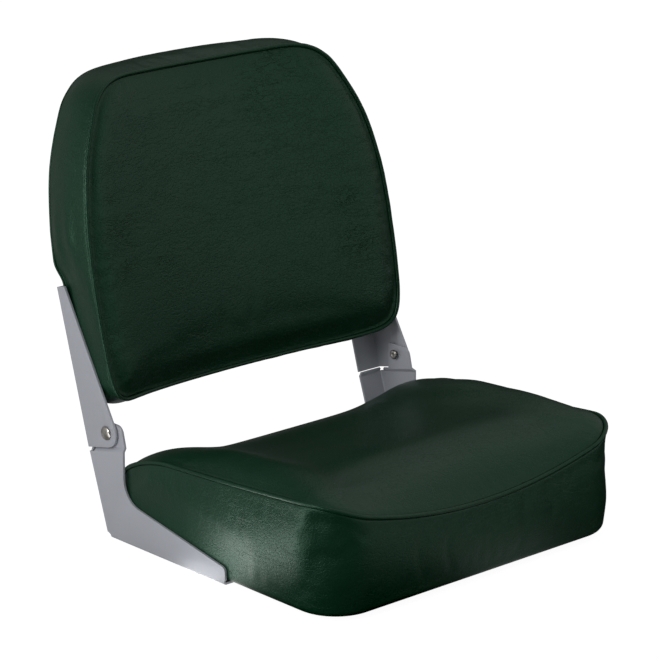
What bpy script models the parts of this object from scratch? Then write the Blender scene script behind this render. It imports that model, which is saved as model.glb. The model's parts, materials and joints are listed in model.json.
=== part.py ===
"""Folding boat seat: a padded seat and backrest joined by two pairs of riveted sheet brackets.

Metres, +Z up. The origin is the centre of the swivel-mount face under the seat, the
front of the seat looks along -Y and the seat is symmetric about the YZ plane. The
backrest turns about the rivets: every backrest piece is modelled about that axis and
hangs from an empty that stands on it.
"""
import math
from dataclasses import dataclass
from typing import Callable

import bmesh
import bpy
from mathutils import Matrix, Vector

# Driving sizes of the whole seat
WIDTH_OVER_BRACKETS = 0.410
PIVOT_BEHIND_MOUNT = 0.170
PIVOT_ABOVE_MOUNT = 0.1150
CLEARANCE = 0.0003
CUT_OVERRUN = 0.002
WELD_DISTANCE = 0.00001
SLOPE_STEP = 0.0005

# Bent sheet of the hinge brackets
SHEET = 0.0025
BEND_RADIUS = 0.0038
BEND_STEPS = 4
FLANGE_WIDTH = 0.0326
CORNER_BREAK = 0.002
ARC_STEPS = 6

# Upper bracket, seen from the side about the rivet
UPPER_LEAN = math.radians(16.3)
UPPER_REAR_REACH = 0.0379
UPPER_TOP_REACH = 0.1541
UPPER_TOP_WIDTH = 0.0148
UPPER_NOSE_RADIUS = 0.0152
UPPER_FOOT_SLOPE = math.radians(12.5)
UPPER_SCREW_SHARES = (0.49, 0.70, 0.91)
SCREW_LINE_INSET = 0.0232

# Lower bracket, seen from the side
LOWER_LEAN = math.radians(18.5)
LOWER_FLANGE_HEIGHT = 0.0022
LOWER_REAR_FOOT = 0.0024
LOWER_FRONT_REACH = 0.1850
LOWER_TIP_HEIGHT = 0.0185
LOWER_TIP_RADIUS = 0.006
LOWER_RAMP_RISE = 0.0285
LOWER_NECK_REACH = 0.0263
LOWER_NECK_FILLET = 0.027
LOWER_HEEL_RADIUS = 0.002
LOWER_SCREW_SHARES = (0.16, 0.50, 0.84)
STOP_GAP = 0.0043
STEP_HEIGHT = 0.0039
LEDGE_REAR = 0.0215

# Tongue of the lower bracket, stepped inward behind the upper bracket
TONGUE_TOP = 0.0105
TONGUE_REAR = 0.0120
TONGUE_FRONT_TOP = 0.0190
TONGUE_CORNER = 0.009

# Hinge rivet and its plastic washer
RIVET_HEAD_RADIUS = 0.0075
RIVET_HEAD_HEIGHT = 0.0030
RIVET_SHANK_RADIUS = 0.0032
RIVET_TAIL_RADIUS = 0.0052
RIVET_TAIL_HEIGHT = 0.0018
RIVET_HEAD_SHARES = ((0.0, 1.0), (0.45, 0.93), (0.78, 0.70), (0.94, 0.38), (1.0, 0.10), (0.98, 0.0))
RIVET_TAIL_SHARES = ((1.0, 0.0), (1.0, 0.35), (0.82, 0.80), (0.45, 1.0), (0.30, 0.72), (0.0, 0.60))
WASHER_RADIUS = 0.0100
WASHER_THICKNESS = 0.0008
ROUND_STEPS = 16

# Bracket screws
SCREW_HEAD_RADIUS = 0.0046
SCREW_HEAD_HEIGHT = 0.0018
SCREW_SHANK_RADIUS = 0.0021
SCREW_LENGTH = 0.0098
SCREW_POINT = 0.0022
SCREW_HEAD_SHARES = ((0.0, 1.0), (0.55, 0.96), (0.85, 0.72), (1.0, 0.30), (1.0, 0.0))
SCREW_STEPS = 8

# Vinyl cover
VINYL = 0.0012
SEAM_PROUD = 0.0009
WELT_RADIUS = 0.0022
REAR_WELT_RADIUS = 0.0014
SEAM_TUCK = 0.0007
SEAM_NECK = 0.0034
HEM_WIDTH = 0.032
HEM_RADIUS = 0.008

# Seat cushion, measured from the rivet axis
SEAT_INSIDE_FACE = 0.0026
SEAT_FRONT_REACH = 0.3400
SEAT_REAR_REACH = 0.0035
SEAT_FRONT_CORNER = 0.048
SEAT_REAR_CORNER = 0.042
SEAT_SIDE_HEIGHT = 0.0045
SEAT_SIDE_FALL = 0.0135
SEAT_FALL_START = 0.270
SEAT_FALL_POWER = 1.6
REAR_ROLL_START = 0.100
REAR_ROLL_LENGTH = 0.100
REAR_ROLL_DROP = 0.062
FRONT_ROLL_START = 0.230
FRONT_DROP = 0.0385
FRONT_ROLL_POWER = 2.2
SEAT_CROWN = 0.0050
SEAT_CROWN_LENGTH = 0.012
CROWN_REAR = 0.110
CROWN_FADE = 0.060
DISH_DEPTH = 0.009
DISH_INSIDE_FACE = 0.069
DISH_POWER = 6
DISH_FRONT = 0.260
DISH_FULL = 0.120
SCOOP_DEPTH = 0.003
SCOOP_FRONT = 0.100
SCOOP_LENGTH = 0.050
SEAT_BULGE = 0.0032
BULGE_POWER = 0.8
SEAT_HEM_BOTTOM = 0.0050
SEAT_RUN = 0.036
PRESS_REACH = 0.024
PRESS_FADE = 0.022
SEAT_RING_SHARES = (0.25, 0.50, 0.70, 0.85, 0.95)
BAND_SHARES = (0.0, 0.12, 0.36, 0.68, 1.0)

# Seat pan and its swivel mount
PAN_INSET = 0.0042
PAN_THICKNESS = 0.0060
PAN_FLOOR = 0.0035
PAN_EDGE_RADIUS = 0.0045
PAN_RIM_WIDTH = 0.036
PAN_RIM_DRAFT = 0.001
MOUNT_PAD_SIDE = 0.178
MOUNT_PAD_CORNER = 0.016
MOUNT_HOLE_SPACING = 0.127
MOUNT_HOLE_RADIUS = 0.0052
MOUNT_SEAT_RADIUS = 0.0102
MOUNT_SEAT_DEPTH = 0.0017
RIB_THICKNESS = 0.003
RIB_HEIGHT = 0.0036
RIB_OFFSET_SHARES = (-0.36, 0.0, 0.36)
VENT_RADIUS = 0.005
VENT_SHARES = (0.62, 0.60)

# Tee nuts in the mount
TEE_FLANGE_RADIUS = 0.0095
TEE_FLANGE_THICKNESS = 0.0012
TEE_BARREL_RADIUS = 0.0048
TEE_BARREL_LENGTH = 0.0095
TEE_BORE_RADIUS = 0.0031

# Backrest, about the rivet axis, measured up its slope and out toward the sitter
BACK_LEAN = math.radians(11.93)
BACK_INSIDE_FACE = 0.0012
BACK_BOTTOM = 0.032
BACK_TOP = 0.357
BACK_SEAM_BEHIND = 0.0155
BACK_HOLLOW = 0.0315
BACK_CROWN = 0.0065
BACK_CROWN_LENGTH = 0.012
BACK_TOP_RISE = 0.008
BACK_TOP_FLARE = 0.003
BACK_RISE_START = 0.200
BACK_BOTTOM_DROP = 0.003
BACK_DROP_END = 0.110
BACK_REAR_HOLLOW = 0.014
BACK_LAND_WIDTH = 0.055
BACK_REAR_FALL = 0.004
REAR_SEAM_INSET = 0.005
REAR_SEAM_DROP = 0.005
REAR_ROUNDING = 0.010
RELEASE_MARGIN = 0.003
RELEASE_LENGTH = 0.016
RELEASE_BULGE = 0.004
RELEASED_INSET = 0.0015
RELEASED_DROP = 0.003
BACK_BULGE = 0.0028
BACK_RING_SHARES = (0.25, 0.50, 0.72, 0.87, 0.945)
BACK_BOARD = 0.009
BACK_OUTLINE_SHARES = (
    (0.0, 0.0), (0.42, 0.0), (0.76, 0.004), (0.905, 0.036), (0.970, 0.108), (0.998, 0.240),
    (1.0, 0.388), (0.998, 0.446), (0.983, 0.570), (0.928, 0.725), (0.838, 0.850),
    (0.742, 0.938), (0.602, 0.986), (0.330, 1.0), (0.0, 1.0),
)
SPAN_STEPS = 2

# Lengths that follow from the sizes above
FACE_X = WIDTH_OVER_BRACKETS / 2
PLATE_X = FACE_X - SHEET
SEAT_HALF_WIDTH = FACE_X - SEAT_INSIDE_FACE
DISH_HALF_WIDTH = FACE_X - DISH_INSIDE_FACE
BACK_HALF_WIDTH = FACE_X - BACK_INSIDE_FACE
BACK_LAND_EDGE = FACE_X - BACK_LAND_WIDTH
TONGUE_STEP = SHEET + WASHER_THICKNESS + 2 * CLEARANCE
SEAT_BASE = PIVOT_ABOVE_MOUNT - LOWER_FLANGE_HEIGHT
SCREW_HOLE_RADIUS = SCREW_SHANK_RADIUS + CLEARANCE
PAN_BOTTOM = SEAT_HEM_BOTTOM + VINYL + CLEARANCE
PAN_TOP = PAN_BOTTOM + PAN_THICKNESS
PIVOT = Vector((0, PIVOT_BEHIND_MOUNT, PIVOT_ABOVE_MOUNT))

GREEN_VINYL = ("marine_vinyl", (0.011, 0.030, 0.020), 0.42, 0.0)
COATED_STEEL = ("coated_steel", (0.33, 0.34, 0.39), 0.45, 0.3)
BARE_STEEL = ("bare_steel", (0.52, 0.50, 0.46), 0.30, 1.0)
SEAT_FOAM = ("urethane_foam", (0.78, 0.70, 0.42), 0.95, 0.0)
MOULDED_FRAME = ("moulded_frame", (0.035, 0.035, 0.038), 0.60, 0.0)
WHITE_NYLON = ("white_nylon", (0.80, 0.80, 0.78), 0.50, 0.0)


def clear_scene():
    """Remove every object that the file opened with."""
    for item in list(bpy.data.objects):
        bpy.data.objects.remove(item, do_unlink=True)


def make_collection(name: str):
    """Return a new collection linked to the scene."""
    group = bpy.data.collections.new(name)
    bpy.context.scene.collection.children.link(group)
    return group


def make_material(finish):
    """Return the Principled material of one finish, made on first use."""
    name, colour, roughness, metallic = finish
    material = bpy.data.materials.get(name)
    if material is None:
        material = bpy.data.materials.new(name)
        material.use_nodes = True
        shader = material.node_tree.nodes["Principled BSDF"]
        shader.inputs["Base Color"].default_value = (*colour, 1.0)
        shader.inputs["Roughness"].default_value = roughness
        shader.inputs["Metallic"].default_value = metallic
    return material


clear_scene()
PARTS = make_collection("folding_boat_seat")
CUTTERS = make_collection("cutters")


def add_part(name: str, data, finish, parent=None):
    """Put one finished piece in the parts collection under its own material."""
    item = bpy.data.objects.new(name, data)
    PARTS.objects.link(item)
    data.materials.append(make_material(finish))
    item.parent = parent
    return item


def add_cutter(name: str, data, parent=None):
    """Put one cutter in the cutters collection, drawn as a wire."""
    item = bpy.data.objects.new(name, data)
    CUTTERS.objects.link(item)
    item.hide_render = True
    item.display_type = "WIRE"
    item.parent = parent
    return item


def boolean(item, cutter, operation: str):
    """Cut or join one solid with another."""
    step = item.modifiers.new(cutter.name, "BOOLEAN")
    step.object = cutter
    step.operation = operation


def mesh_from(bm, name: str, smooth_angle: float = math.radians(35)):
    """Turn a finished bmesh into smooth-shaded mesh data."""
    data = bpy.data.meshes.new(name)
    bm.to_mesh(data)
    bm.free()
    data.shade_smooth()
    data.set_sharp_from_angle(angle=smooth_angle)
    return data


def loft(name: str, rings, closed: bool = False):
    """Skin a row of unlike sections that have the same number of points.

    An open row is capped at its first and last section. A closed row joins its last
    section to its first, as a tube that goes round.
    """
    bm = bmesh.new()
    rows = [[bm.verts.new(point) for point in ring] for ring in rings]
    pairs = list(zip(rows, rows[1:]))
    if closed:
        pairs.append((rows[-1], rows[0]))
    for near, far in pairs:
        for index in range(len(near)):
            after = (index + 1) % len(near)
            bm.faces.new((near[index], near[after], far[after], far[index]))
    if not closed:
        caps = [bm.faces.new(rows[0]), bm.faces.new(rows[-1])]
        bmesh.ops.poke(bm, faces=caps, center_mode="MEAN")
    bmesh.ops.recalc_face_normals(bm, faces=bm.faces[:])
    bmesh.ops.triangulate(bm, faces=[face for face in bm.faces if len(face.verts) == 4])
    return mesh_from(bm, name)


def tube_curve(name: str, points, radius: float):
    """Return a closed round cord that follows the points."""
    data = bpy.data.curves.new(name, "CURVE")
    data.dimensions = "3D"
    data.bevel_depth = radius
    data.bevel_resolution = 1
    spline = data.splines.new("POLY")
    spline.points.add(len(points) - 1)
    for target, point in zip(spline.points, points):
        target.co = (*point, 1.0)
    spline.use_cyclic_u = True
    return data


def turned(name: str, profile, finish, steps: int, closed: bool = False, parent=None):
    """Turn a profile of (radius, height) points about Z."""
    data = bpy.data.meshes.new(name)
    edges = [(index, index + 1) for index in range(len(profile) - 1)]
    if closed:
        edges.append((len(profile) - 1, 0))
    data.from_pydata([(radius, 0, height) for radius, height in profile], edges, [])
    item = add_part(name, data, finish, parent)
    spin = item.modifiers.new("turn", "SCREW")
    spin.axis = "Z"
    spin.angle = 2 * math.pi
    spin.steps = steps
    spin.render_steps = steps
    spin.use_merge_vertices = True
    spin.merge_threshold = WELD_DISTANCE
    spin.use_smooth_shade = True
    return item


def rod_cutter(name: str, radius: float, length: float, centre, turn=None, parent=None):
    """Return a round cutter about a centre, along Z unless it is turned."""
    bm = bmesh.new()
    bmesh.ops.create_cone(bm, cap_ends=True, segments=ROUND_STEPS, radius1=radius,
                          radius2=radius, depth=length)
    item = add_cutter(name, mesh_from(bm, name), parent)
    item.matrix_local = Matrix.Translation(centre) @ (turn or Matrix())
    return item


def round_corners(corners, steps: int = ARC_STEPS):
    """Return a flat outline whose corners (u, v, radius) are replaced by arcs."""
    outline = []
    for index, (u, v, radius) in enumerate(corners):
        here = Vector((u, v))
        before = Vector(corners[index - 1][:2]) - here
        after = Vector(corners[(index + 1) % len(corners)][:2]) - here
        before.normalize()
        after.normalize()
        half = before.angle(after) / 2
        if radius == 0:
            outline.append(here)
            continue
        centre = here + (before + after).normalized() * radius / math.sin(half)
        reach = radius / math.tan(half)
        first = here + before * reach - centre
        sweep = first.angle_signed(here + after * reach - centre)
        for step in range(steps + 1):
            spoke = first.copy()
            spoke.rotate(Matrix.Rotation(-sweep * step / steps, 2))
            outline.append(centre + spoke)
    return outline


def meet(normal_a, reach_a: float, normal_b, reach_b: float):
    """Return the point where two lines cross, each a normal and its reach."""
    det = normal_a.x * normal_b.y - normal_a.y * normal_b.x
    return Vector(((reach_a * normal_b.y - reach_b * normal_a.y) / det,
                   (normal_a.x * reach_b - normal_b.x * reach_a) / det))


def smoothstep(share: float) -> float:
    """Return an eased share between 0 and 1."""
    share = min(max(share, 0.0), 1.0)
    return share * share * (3 - 2 * share)


class BentSheet:
    """A bent metal sheet, drawn on its outer face and thickened inward."""

    def __init__(self, side: int):
        self.side = side
        self.bm = bmesh.new()

    def panel(self, points):
        """Add one flat face, listed counterclockwise from outside on the right."""
        corners = [self.bm.verts.new((x * self.side, y, z)) for x, y, z in points]
        self.bm.faces.new(corners if self.side > 0 else corners[::-1])

    def strips(self, lines):
        """Skin a row of two-point lines."""
        for (near_a, near_b), (far_a, far_b) in zip(lines, lines[1:]):
            self.panel((near_a, near_b, far_b, far_a))

    def finish(self, name: str, parent=None):
        """Weld the faces and give the sheet its thickness."""
        bmesh.ops.remove_doubles(self.bm, verts=self.bm.verts[:], dist=WELD_DISTANCE)
        item = add_part(name, mesh_from(self.bm, name), COATED_STEEL, parent)
        wall = item.modifiers.new("sheet", "SOLIDIFY")
        wall.thickness = SHEET
        wall.offset = -1
        wall.use_even_offset = True
        return item


def fold_lines(near, far, outward, width: float):
    """Return the lines of a bend and its flange, from the side plate inward.

    near and far end the plate's straight edge on the bend; outward points from the
    plate's edge to the flange's outer face.
    """
    lines = []
    for step in range(BEND_STEPS + 1):
        angle = math.pi / 2 * step / BEND_STEPS
        shift = outward * BEND_RADIUS * math.sin(angle)
        shift.x = -BEND_RADIUS * (1 - math.cos(angle))
        lines.append((near + shift, far + shift))
    flange = outward * BEND_RADIUS
    flange.x = -width
    lines.append((near + flange, far + flange))
    return lines


def in_plate(u: float, v: float, x: float = FACE_X) -> Vector:
    """Place a side-view point about the rivet on a plate's outer face."""
    return Vector((x, u, v))


@dataclass(frozen=True)
class UpperShape:
    """Side view of the upper bracket about the rivet axis."""

    rear: Vector = Vector((math.cos(UPPER_LEAN), -math.sin(UPPER_LEAN)))
    along: Vector = Vector((math.sin(UPPER_LEAN), math.cos(UPPER_LEAN)))
    foot: Vector = Vector((-math.sin(UPPER_FOOT_SLOPE), -math.cos(UPPER_FOOT_SLOPE)))

    def front_normal(self) -> Vector:
        """Return the normal of the front edge, which runs tangent to the nose."""
        top = self.along * UPPER_TOP_REACH + self.rear * (UPPER_REAR_REACH - UPPER_TOP_WIDTH)
        lift = math.acos(UPPER_NOSE_RADIUS / top.length)
        heading = math.atan2(top.y, top.x) + lift
        return Vector((math.cos(heading), math.sin(heading)))

    def corners(self):
        """Return rear foot, rear top, front top and nose corners with their radii."""
        inset = UPPER_REAR_REACH - BEND_RADIUS
        front = self.front_normal()
        return [
            (*meet(self.rear, inset, self.foot, UPPER_NOSE_RADIUS), 0),
            (*meet(self.rear, inset, self.along, UPPER_TOP_REACH), 0),
            (*meet(front, UPPER_NOSE_RADIUS, self.along, UPPER_TOP_REACH), CORNER_BREAK),
            (*meet(front, UPPER_NOSE_RADIUS, self.foot, UPPER_NOSE_RADIUS), UPPER_NOSE_RADIUS),
        ]

    def rear_face(self, up: float) -> float:
        """Return how far behind the rivet the flange's outer face is at a height."""
        return (UPPER_REAR_REACH - up * self.rear.y) / self.rear.x


UPPER = UpperShape()


def rear_screw_turn(lean: float):
    """Return the turn that lays a Z axis along a flange's inward normal."""
    return Matrix.Rotation(math.pi / 2 - lean, 4, "X")


def upper_screw_point(share: float) -> Vector:
    """Return a screw's place on the upper flange's outer face."""
    up = share * (UPPER_TOP_REACH + UPPER_NOSE_RADIUS) - UPPER_NOSE_RADIUS
    spot = UPPER.along * up + UPPER.rear * UPPER_REAR_REACH
    return Vector((FACE_X - SCREW_LINE_INSET, spot.x, spot.y))


def mirrored(point, side: int) -> Vector:
    """Return a right-hand point on the chosen side."""
    return Vector((point[0] * side, point[1], point[2]))


def make_upper_bracket(name: str, side: int, hub):
    """Model one upper bracket: a tapered plate with a full-length rear flange."""
    sheet = BentSheet(side)
    outline = round_corners(UPPER.corners())
    sheet.panel([in_plate(point.x, point.y) for point in outline])
    near, far = in_plate(*outline[0]), in_plate(*outline[1])
    outward = Vector((0, UPPER.rear.x, UPPER.rear.y))
    sheet.strips([(b, a) for a, b in fold_lines(near, far, outward, FLANGE_WIDTH)])
    item = sheet.finish(name, hub)
    across = Matrix.Rotation(math.pi / 2, 4, "Y")
    eye = rod_cutter(name + "_eye", RIVET_SHANK_RADIUS + CLEARANCE, SHEET + 2 * CUT_OVERRUN,
                     mirrored((FACE_X - SHEET / 2, 0, 0), side), across, hub)
    boolean(item, eye, "DIFFERENCE")
    for number, share in enumerate(UPPER_SCREW_SHARES, 1):
        hole = rod_cutter(f"{name}_hole_{number}", SCREW_HOLE_RADIUS, 2 * SHEET + CUT_OVERRUN,
                          mirrored(upper_screw_point(share), side),
                          rear_screw_turn(UPPER_LEAN), hub)
        boolean(item, hole, "DIFFERENCE")


@dataclass(frozen=True)
class LowerShape:
    """Side view of the lower bracket about the rivet axis."""

    rear: Vector = Vector((math.cos(LOWER_LEAN), -math.sin(LOWER_LEAN)))
    step_up: Vector = Vector((math.sin(UPPER_FOOT_SLOPE), math.cos(UPPER_FOOT_SLOPE)))

    def rear_reach(self) -> float:
        """Return the reach of the rear flange's outer face from the rivet."""
        return self.rear.x * LOWER_REAR_FOOT - self.rear.y * SEAT_BASE

    def rear_edge(self, reach_up: float) -> Vector:
        """Return where the plate's bend edge crosses a line along the step."""
        return meet(self.rear, self.rear_reach() - BEND_RADIUS, self.step_up, reach_up)

    def step_point(self, back: float, reach_up: float) -> Vector:
        """Return the point on a line along the step at a distance behind the rivet."""
        return Vector((back, (reach_up - self.step_up.x * back) / self.step_up.y))


LOWER = LowerShape()
STEP_FOOT = -UPPER_NOSE_RADIUS - STOP_GAP
STEP_TOP = STEP_FOOT + STEP_HEIGHT
RAMP_START = -LOWER_FRONT_REACH


def plate_height(back: float) -> float:
    """Return the height of the lower plate's ramp above its base at a place."""
    share = (back - RAMP_START) / (LOWER_FRONT_REACH - LOWER_NECK_REACH)
    return LOWER_TIP_HEIGHT + LOWER_RAMP_RISE * share


def make_lower_bracket(name: str, side: int):
    """Model one lower bracket: side plate, base flange, rear flange and stepped tongue."""
    sheet = BentSheet(side)
    base_edge = -SEAT_BASE + BEND_RADIUS
    heel_rear = meet(LOWER.rear, LOWER.rear_reach() - BEND_RADIUS,
                     Vector((0, 1)), base_edge + LOWER_HEEL_RADIUS)
    heel_base = Vector((heel_rear.x - 2 * LOWER_HEEL_RADIUS, base_edge))
    tip_base = Vector((RAMP_START + CORNER_BREAK, base_edge))
    neck_foot = LOWER.step_point(-LOWER_NECK_REACH, STEP_FOOT)
    tongue_foot = LOWER.step_point(TONGUE_REAR, STEP_FOOT)
    ledge_foot = LOWER.step_point(LEDGE_REAR, STEP_FOOT)
    bend_foot = LOWER.rear_edge(STEP_FOOT)
    outline = round_corners([
        (*heel_base, 0), (*heel_rear, 0), (*bend_foot, 0), (*ledge_foot, 0),
        (*tongue_foot, 0), (*neck_foot, 0),
        (-LOWER_NECK_REACH, plate_height(-LOWER_NECK_REACH) - SEAT_BASE, LOWER_NECK_FILLET),
        (RAMP_START, plate_height(RAMP_START) - SEAT_BASE, LOWER_TIP_RADIUS),
        (RAMP_START, base_edge + CORNER_BREAK, 0), (*tip_base, 0),
    ])
    sheet.panel([in_plate(point.x, point.y) for point in outline])
    base_out = Vector((0, 0, -1))
    sheet.strips(fold_lines(in_plate(*heel_base), in_plate(*tip_base), base_out, FLANGE_WIDTH))
    rear_out = Vector((0, LOWER.rear.x, LOWER.rear.y))
    rear_lines = fold_lines(in_plate(*bend_foot), in_plate(*heel_rear), rear_out, FLANGE_WIDTH)
    sheet.strips(rear_lines)

    inner = FACE_X - TONGUE_STEP
    neck_top = LOWER.step_point(-LOWER_NECK_REACH + CORNER_BREAK, STEP_TOP)
    tongue_top = LOWER.step_point(TONGUE_REAR, STEP_TOP)
    ledge_top = LOWER.step_point(LEDGE_REAR, STEP_TOP)
    sheet.panel((in_plate(*ledge_foot), in_plate(*ledge_top, inner), in_plate(*tongue_top, inner),
                 in_plate(*tongue_foot)))
    sheet.panel((in_plate(*tongue_foot), in_plate(*tongue_top, inner),
                 in_plate(*neck_top, inner), in_plate(*neck_foot)))
    tongue = round_corners([
        (*tongue_top, 0), (TONGUE_REAR, TONGUE_TOP, CORNER_BREAK),
        (-TONGUE_FRONT_TOP, TONGUE_TOP, TONGUE_CORNER), (*neck_top, 0),
    ])
    sheet.panel([in_plate(point.x, point.y, inner) for point in tongue])
    lip = Vector((0, *(LOWER.rear_edge(STEP_TOP) - LOWER.rear_edge(STEP_FOOT))))
    lip -= rear_out * TONGUE_STEP
    shoulder, free_end = rear_lines[-2][0], rear_lines[-1][0]
    sheet.panel((shoulder, free_end, free_end + lip, shoulder + lip))

    item = sheet.finish(name)
    item.location = PIVOT
    across = Matrix.Rotation(math.pi / 2, 4, "Y")
    eye = rod_cutter(name + "_eye", RIVET_SHANK_RADIUS + CLEARANCE,
                     SHEET + TONGUE_STEP + CUT_OVERRUN,
                     PIVOT + mirrored((inner - SHEET / 2, 0, 0), side), across)
    boolean(item, eye, "DIFFERENCE")
    for number, share in enumerate(LOWER_SCREW_SHARES, 1):
        spot = lower_screw_point(share)
        hole = rod_cutter(f"{name}_hole_{number}", SCREW_HOLE_RADIUS, 2 * SHEET + CUT_OVERRUN,
                          mirrored(spot, side))
        boolean(item, hole, "DIFFERENCE")


def lower_screw_point(share: float) -> Vector:
    """Return a screw's place on the base flange's lower face."""
    back = PIVOT_BEHIND_MOUNT + RAMP_START * (1 - share)
    return Vector((FACE_X - SCREW_LINE_INSET, back, LOWER_FLANGE_HEIGHT))


def make_rivet(name: str, side: int):
    """Model one hinge rivet: domed head outside, clenched tail inside."""
    head = [(RIVET_HEAD_RADIUS * r, FACE_X + CLEARANCE + RIVET_HEAD_HEIGHT * h)
            for r, h in RIVET_HEAD_SHARES]
    tail_top = FACE_X - TONGUE_STEP - SHEET - CLEARANCE
    tail = [(RIVET_TAIL_RADIUS * r, tail_top - RIVET_TAIL_HEIGHT * h)
            for r, h in RIVET_TAIL_SHARES]
    shank = [(RIVET_SHANK_RADIUS, FACE_X + CLEARANCE), (RIVET_SHANK_RADIUS, tail_top)]
    item = turned(name, head + shank + tail, BARE_STEEL, ROUND_STEPS)
    item.rotation_euler = (0, side * math.pi / 2, 0)
    item.location = PIVOT


def make_washer(name: str, side: int):
    """Model the plastic washer between the upper plate and the tongue."""
    bore = RIVET_SHANK_RADIUS + CLEARANCE
    top = PLATE_X - CLEARANCE
    foot = top - WASHER_THICKNESS
    profile = [(bore, top), (WASHER_RADIUS, top), (WASHER_RADIUS, foot), (bore, foot)]
    item = turned(name, profile, WHITE_NYLON, ROUND_STEPS, closed=True)
    item.rotation_euler = (0, side * math.pi / 2, 0)
    item.location = PIVOT


def make_screw(name: str, place, turn, parent=None):
    """Model one pan-head screw whose head sits just off the face at a place."""
    head = [(SCREW_HEAD_RADIUS * r, SCREW_HEAD_HEIGHT * h + CLEARANCE)
            for r, h in SCREW_HEAD_SHARES]
    shank = [(SCREW_SHANK_RADIUS, CLEARANCE), (SCREW_SHANK_RADIUS, SCREW_POINT - SCREW_LENGTH),
             (0, -SCREW_LENGTH)]
    item = turned(name, head + shank, BARE_STEEL, SCREW_STEPS, parent=parent)
    item.matrix_local = Matrix.Translation(place) @ turn


@dataclass(frozen=True)
class Cushion:
    """A boxed cushion in its own frame: across, along and out of its face.

    outline is the seam seen along the face's normal, face gives the panel's height at
    a place and a distance from the seam, and place carries a point to its object.
    """

    outline: list
    face: Callable
    place: Callable

    def outward(self, index: int) -> Vector:
        """Return the outline's outward normal at one of its points."""
        run = self.outline[(index + 1) % len(self.outline)] - self.outline[index - 1]
        return Vector((run.y, -run.x)).normalized()

    def seam(self, index: int) -> Vector:
        """Return the welt's centre at one point of the outline."""
        spot = self.outline[index]
        return Vector((spot.x, spot.y, self.face(spot.x, spot.y, 0)))

    def wall_drop(self, index: int) -> float:
        """Return how far below the welt's centre the wall starts, more where it slopes."""
        after = (index + 1) % len(self.outline)
        climb = self.seam(after) - self.seam(index - 1)
        return WALL_TOP_DROP * climb.length / climb.xy.length

    def edge_frame(self, index: int):
        """Return the directions into the panel and out of its face at the seam."""
        out = self.outward(index)
        spot = self.outline[index]
        inner = spot - out * SLOPE_STEP
        rise = self.face(inner.x, inner.y, 0) - self.face(spot.x, spot.y, 0)
        inward = Vector((-out.x * SLOPE_STEP, -out.y * SLOPE_STEP, rise)).normalized()
        normal = Vector((out.x * rise, out.y * rise, SLOPE_STEP)).normalized()
        return inward, normal

    def edge_ring(self, reach: float, lift: float):
        """Return the ring that stands off the welt by a reach and a lift."""
        ring = []
        for index in range(len(self.outline)):
            inward, normal = self.edge_frame(index)
            ring.append(self.place(self.seam(index) + inward * reach + normal * lift))
        return ring

    def foam_neck(self):
        """Return the two rings of foam that pass inside the welt."""
        under_panel = self.edge_ring(WALL_TOP_DROP, SEAM_PROUD - VINYL - CLEARANCE)
        under_welt = self.edge_ring(SEAM_NECK, -WELT_RADIUS - SEAM_TUCK)
        return [under_panel, under_welt]

    def face_ring(self, share: float, depth: float):
        """Return a ring of the face, scaled about the centre and sunk by a depth."""
        ring = []
        for spot in self.outline:
            near = spot * share
            gap = (spot - near).length
            height = self.face(near.x, near.y, gap)
            slope_x = self.face(near.x + SLOPE_STEP, near.y, gap) - height
            slope_y = self.face(near.x, near.y + SLOPE_STEP, gap) - height
            normal = Vector((-slope_x, -slope_y, SLOPE_STEP)).normalized()
            ring.append(self.place(Vector((near.x, near.y, height)) - normal * depth))
        return ring

    def wall_ring(self, wall: Callable, share: float, depth: float):
        """Return a ring of the side wall, sunk toward the middle by a depth."""
        ring = []
        for index in range(len(self.outline)):
            out = self.outward(index)
            point = wall(index, share)
            ring.append(self.place(point - Vector((out.x, out.y, 0)) * depth))
        return ring

    def panel_rings(self, shares, welt: float):
        """Return the closed row of rings of the face panel, outer side first."""
        outer = [self.face_ring(share, 0) for share in shares]
        inner = [self.face_ring(share, VINYL) for share in reversed(shares)]
        reach = welt + CLEARANCE
        outer.append(self.edge_ring(reach, SEAM_PROUD))
        inner.insert(0, self.edge_ring(reach, SEAM_PROUD - VINYL))
        return outer + inner

    def welt_points(self):
        """Return the centres of the welt."""
        return [self.place(self.seam(index)) for index in range(len(self.outline))]


def seat_outline():
    """Return the seat's seam in plan about the mount, counterclockwise."""
    front = PIVOT_BEHIND_MOUNT - SEAT_FRONT_REACH
    rear = PIVOT_BEHIND_MOUNT - SEAT_REAR_REACH
    half = SEAT_HALF_WIDTH
    loop = round_corners([
        (half, front, SEAT_FRONT_CORNER), (half, rear, SEAT_REAR_CORNER),
        (-half, rear, SEAT_REAR_CORNER), (-half, front, SEAT_FRONT_CORNER),
    ])
    return divide_runs(loop, SEAT_RUN)


def divide_runs(loop, longest: float):
    """Divide the straight runs of a loop that are longer than a length."""
    points = []
    for here, after in zip(loop, loop[1:] + loop[:1]):
        parts = max(1, math.ceil((after - here).length / longest))
        points += [here.lerp(after, part / parts) for part in range(parts)]
    return points


def side_height(back: float) -> float:
    """Return the seam's height beside the sitter, about the rivet axis."""
    run = max((back + SEAT_FALL_START) / SEAT_FALL_START, 0)
    height = SEAT_SIDE_HEIGHT - SEAT_SIDE_FALL * (1 - (1 - run) ** SEAT_FALL_POWER)
    turn = min(max((back + REAR_ROLL_START) / REAR_ROLL_LENGTH, 0), 1)
    return height - REAR_ROLL_DROP * (1 - math.sqrt(1 - turn * turn))


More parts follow.
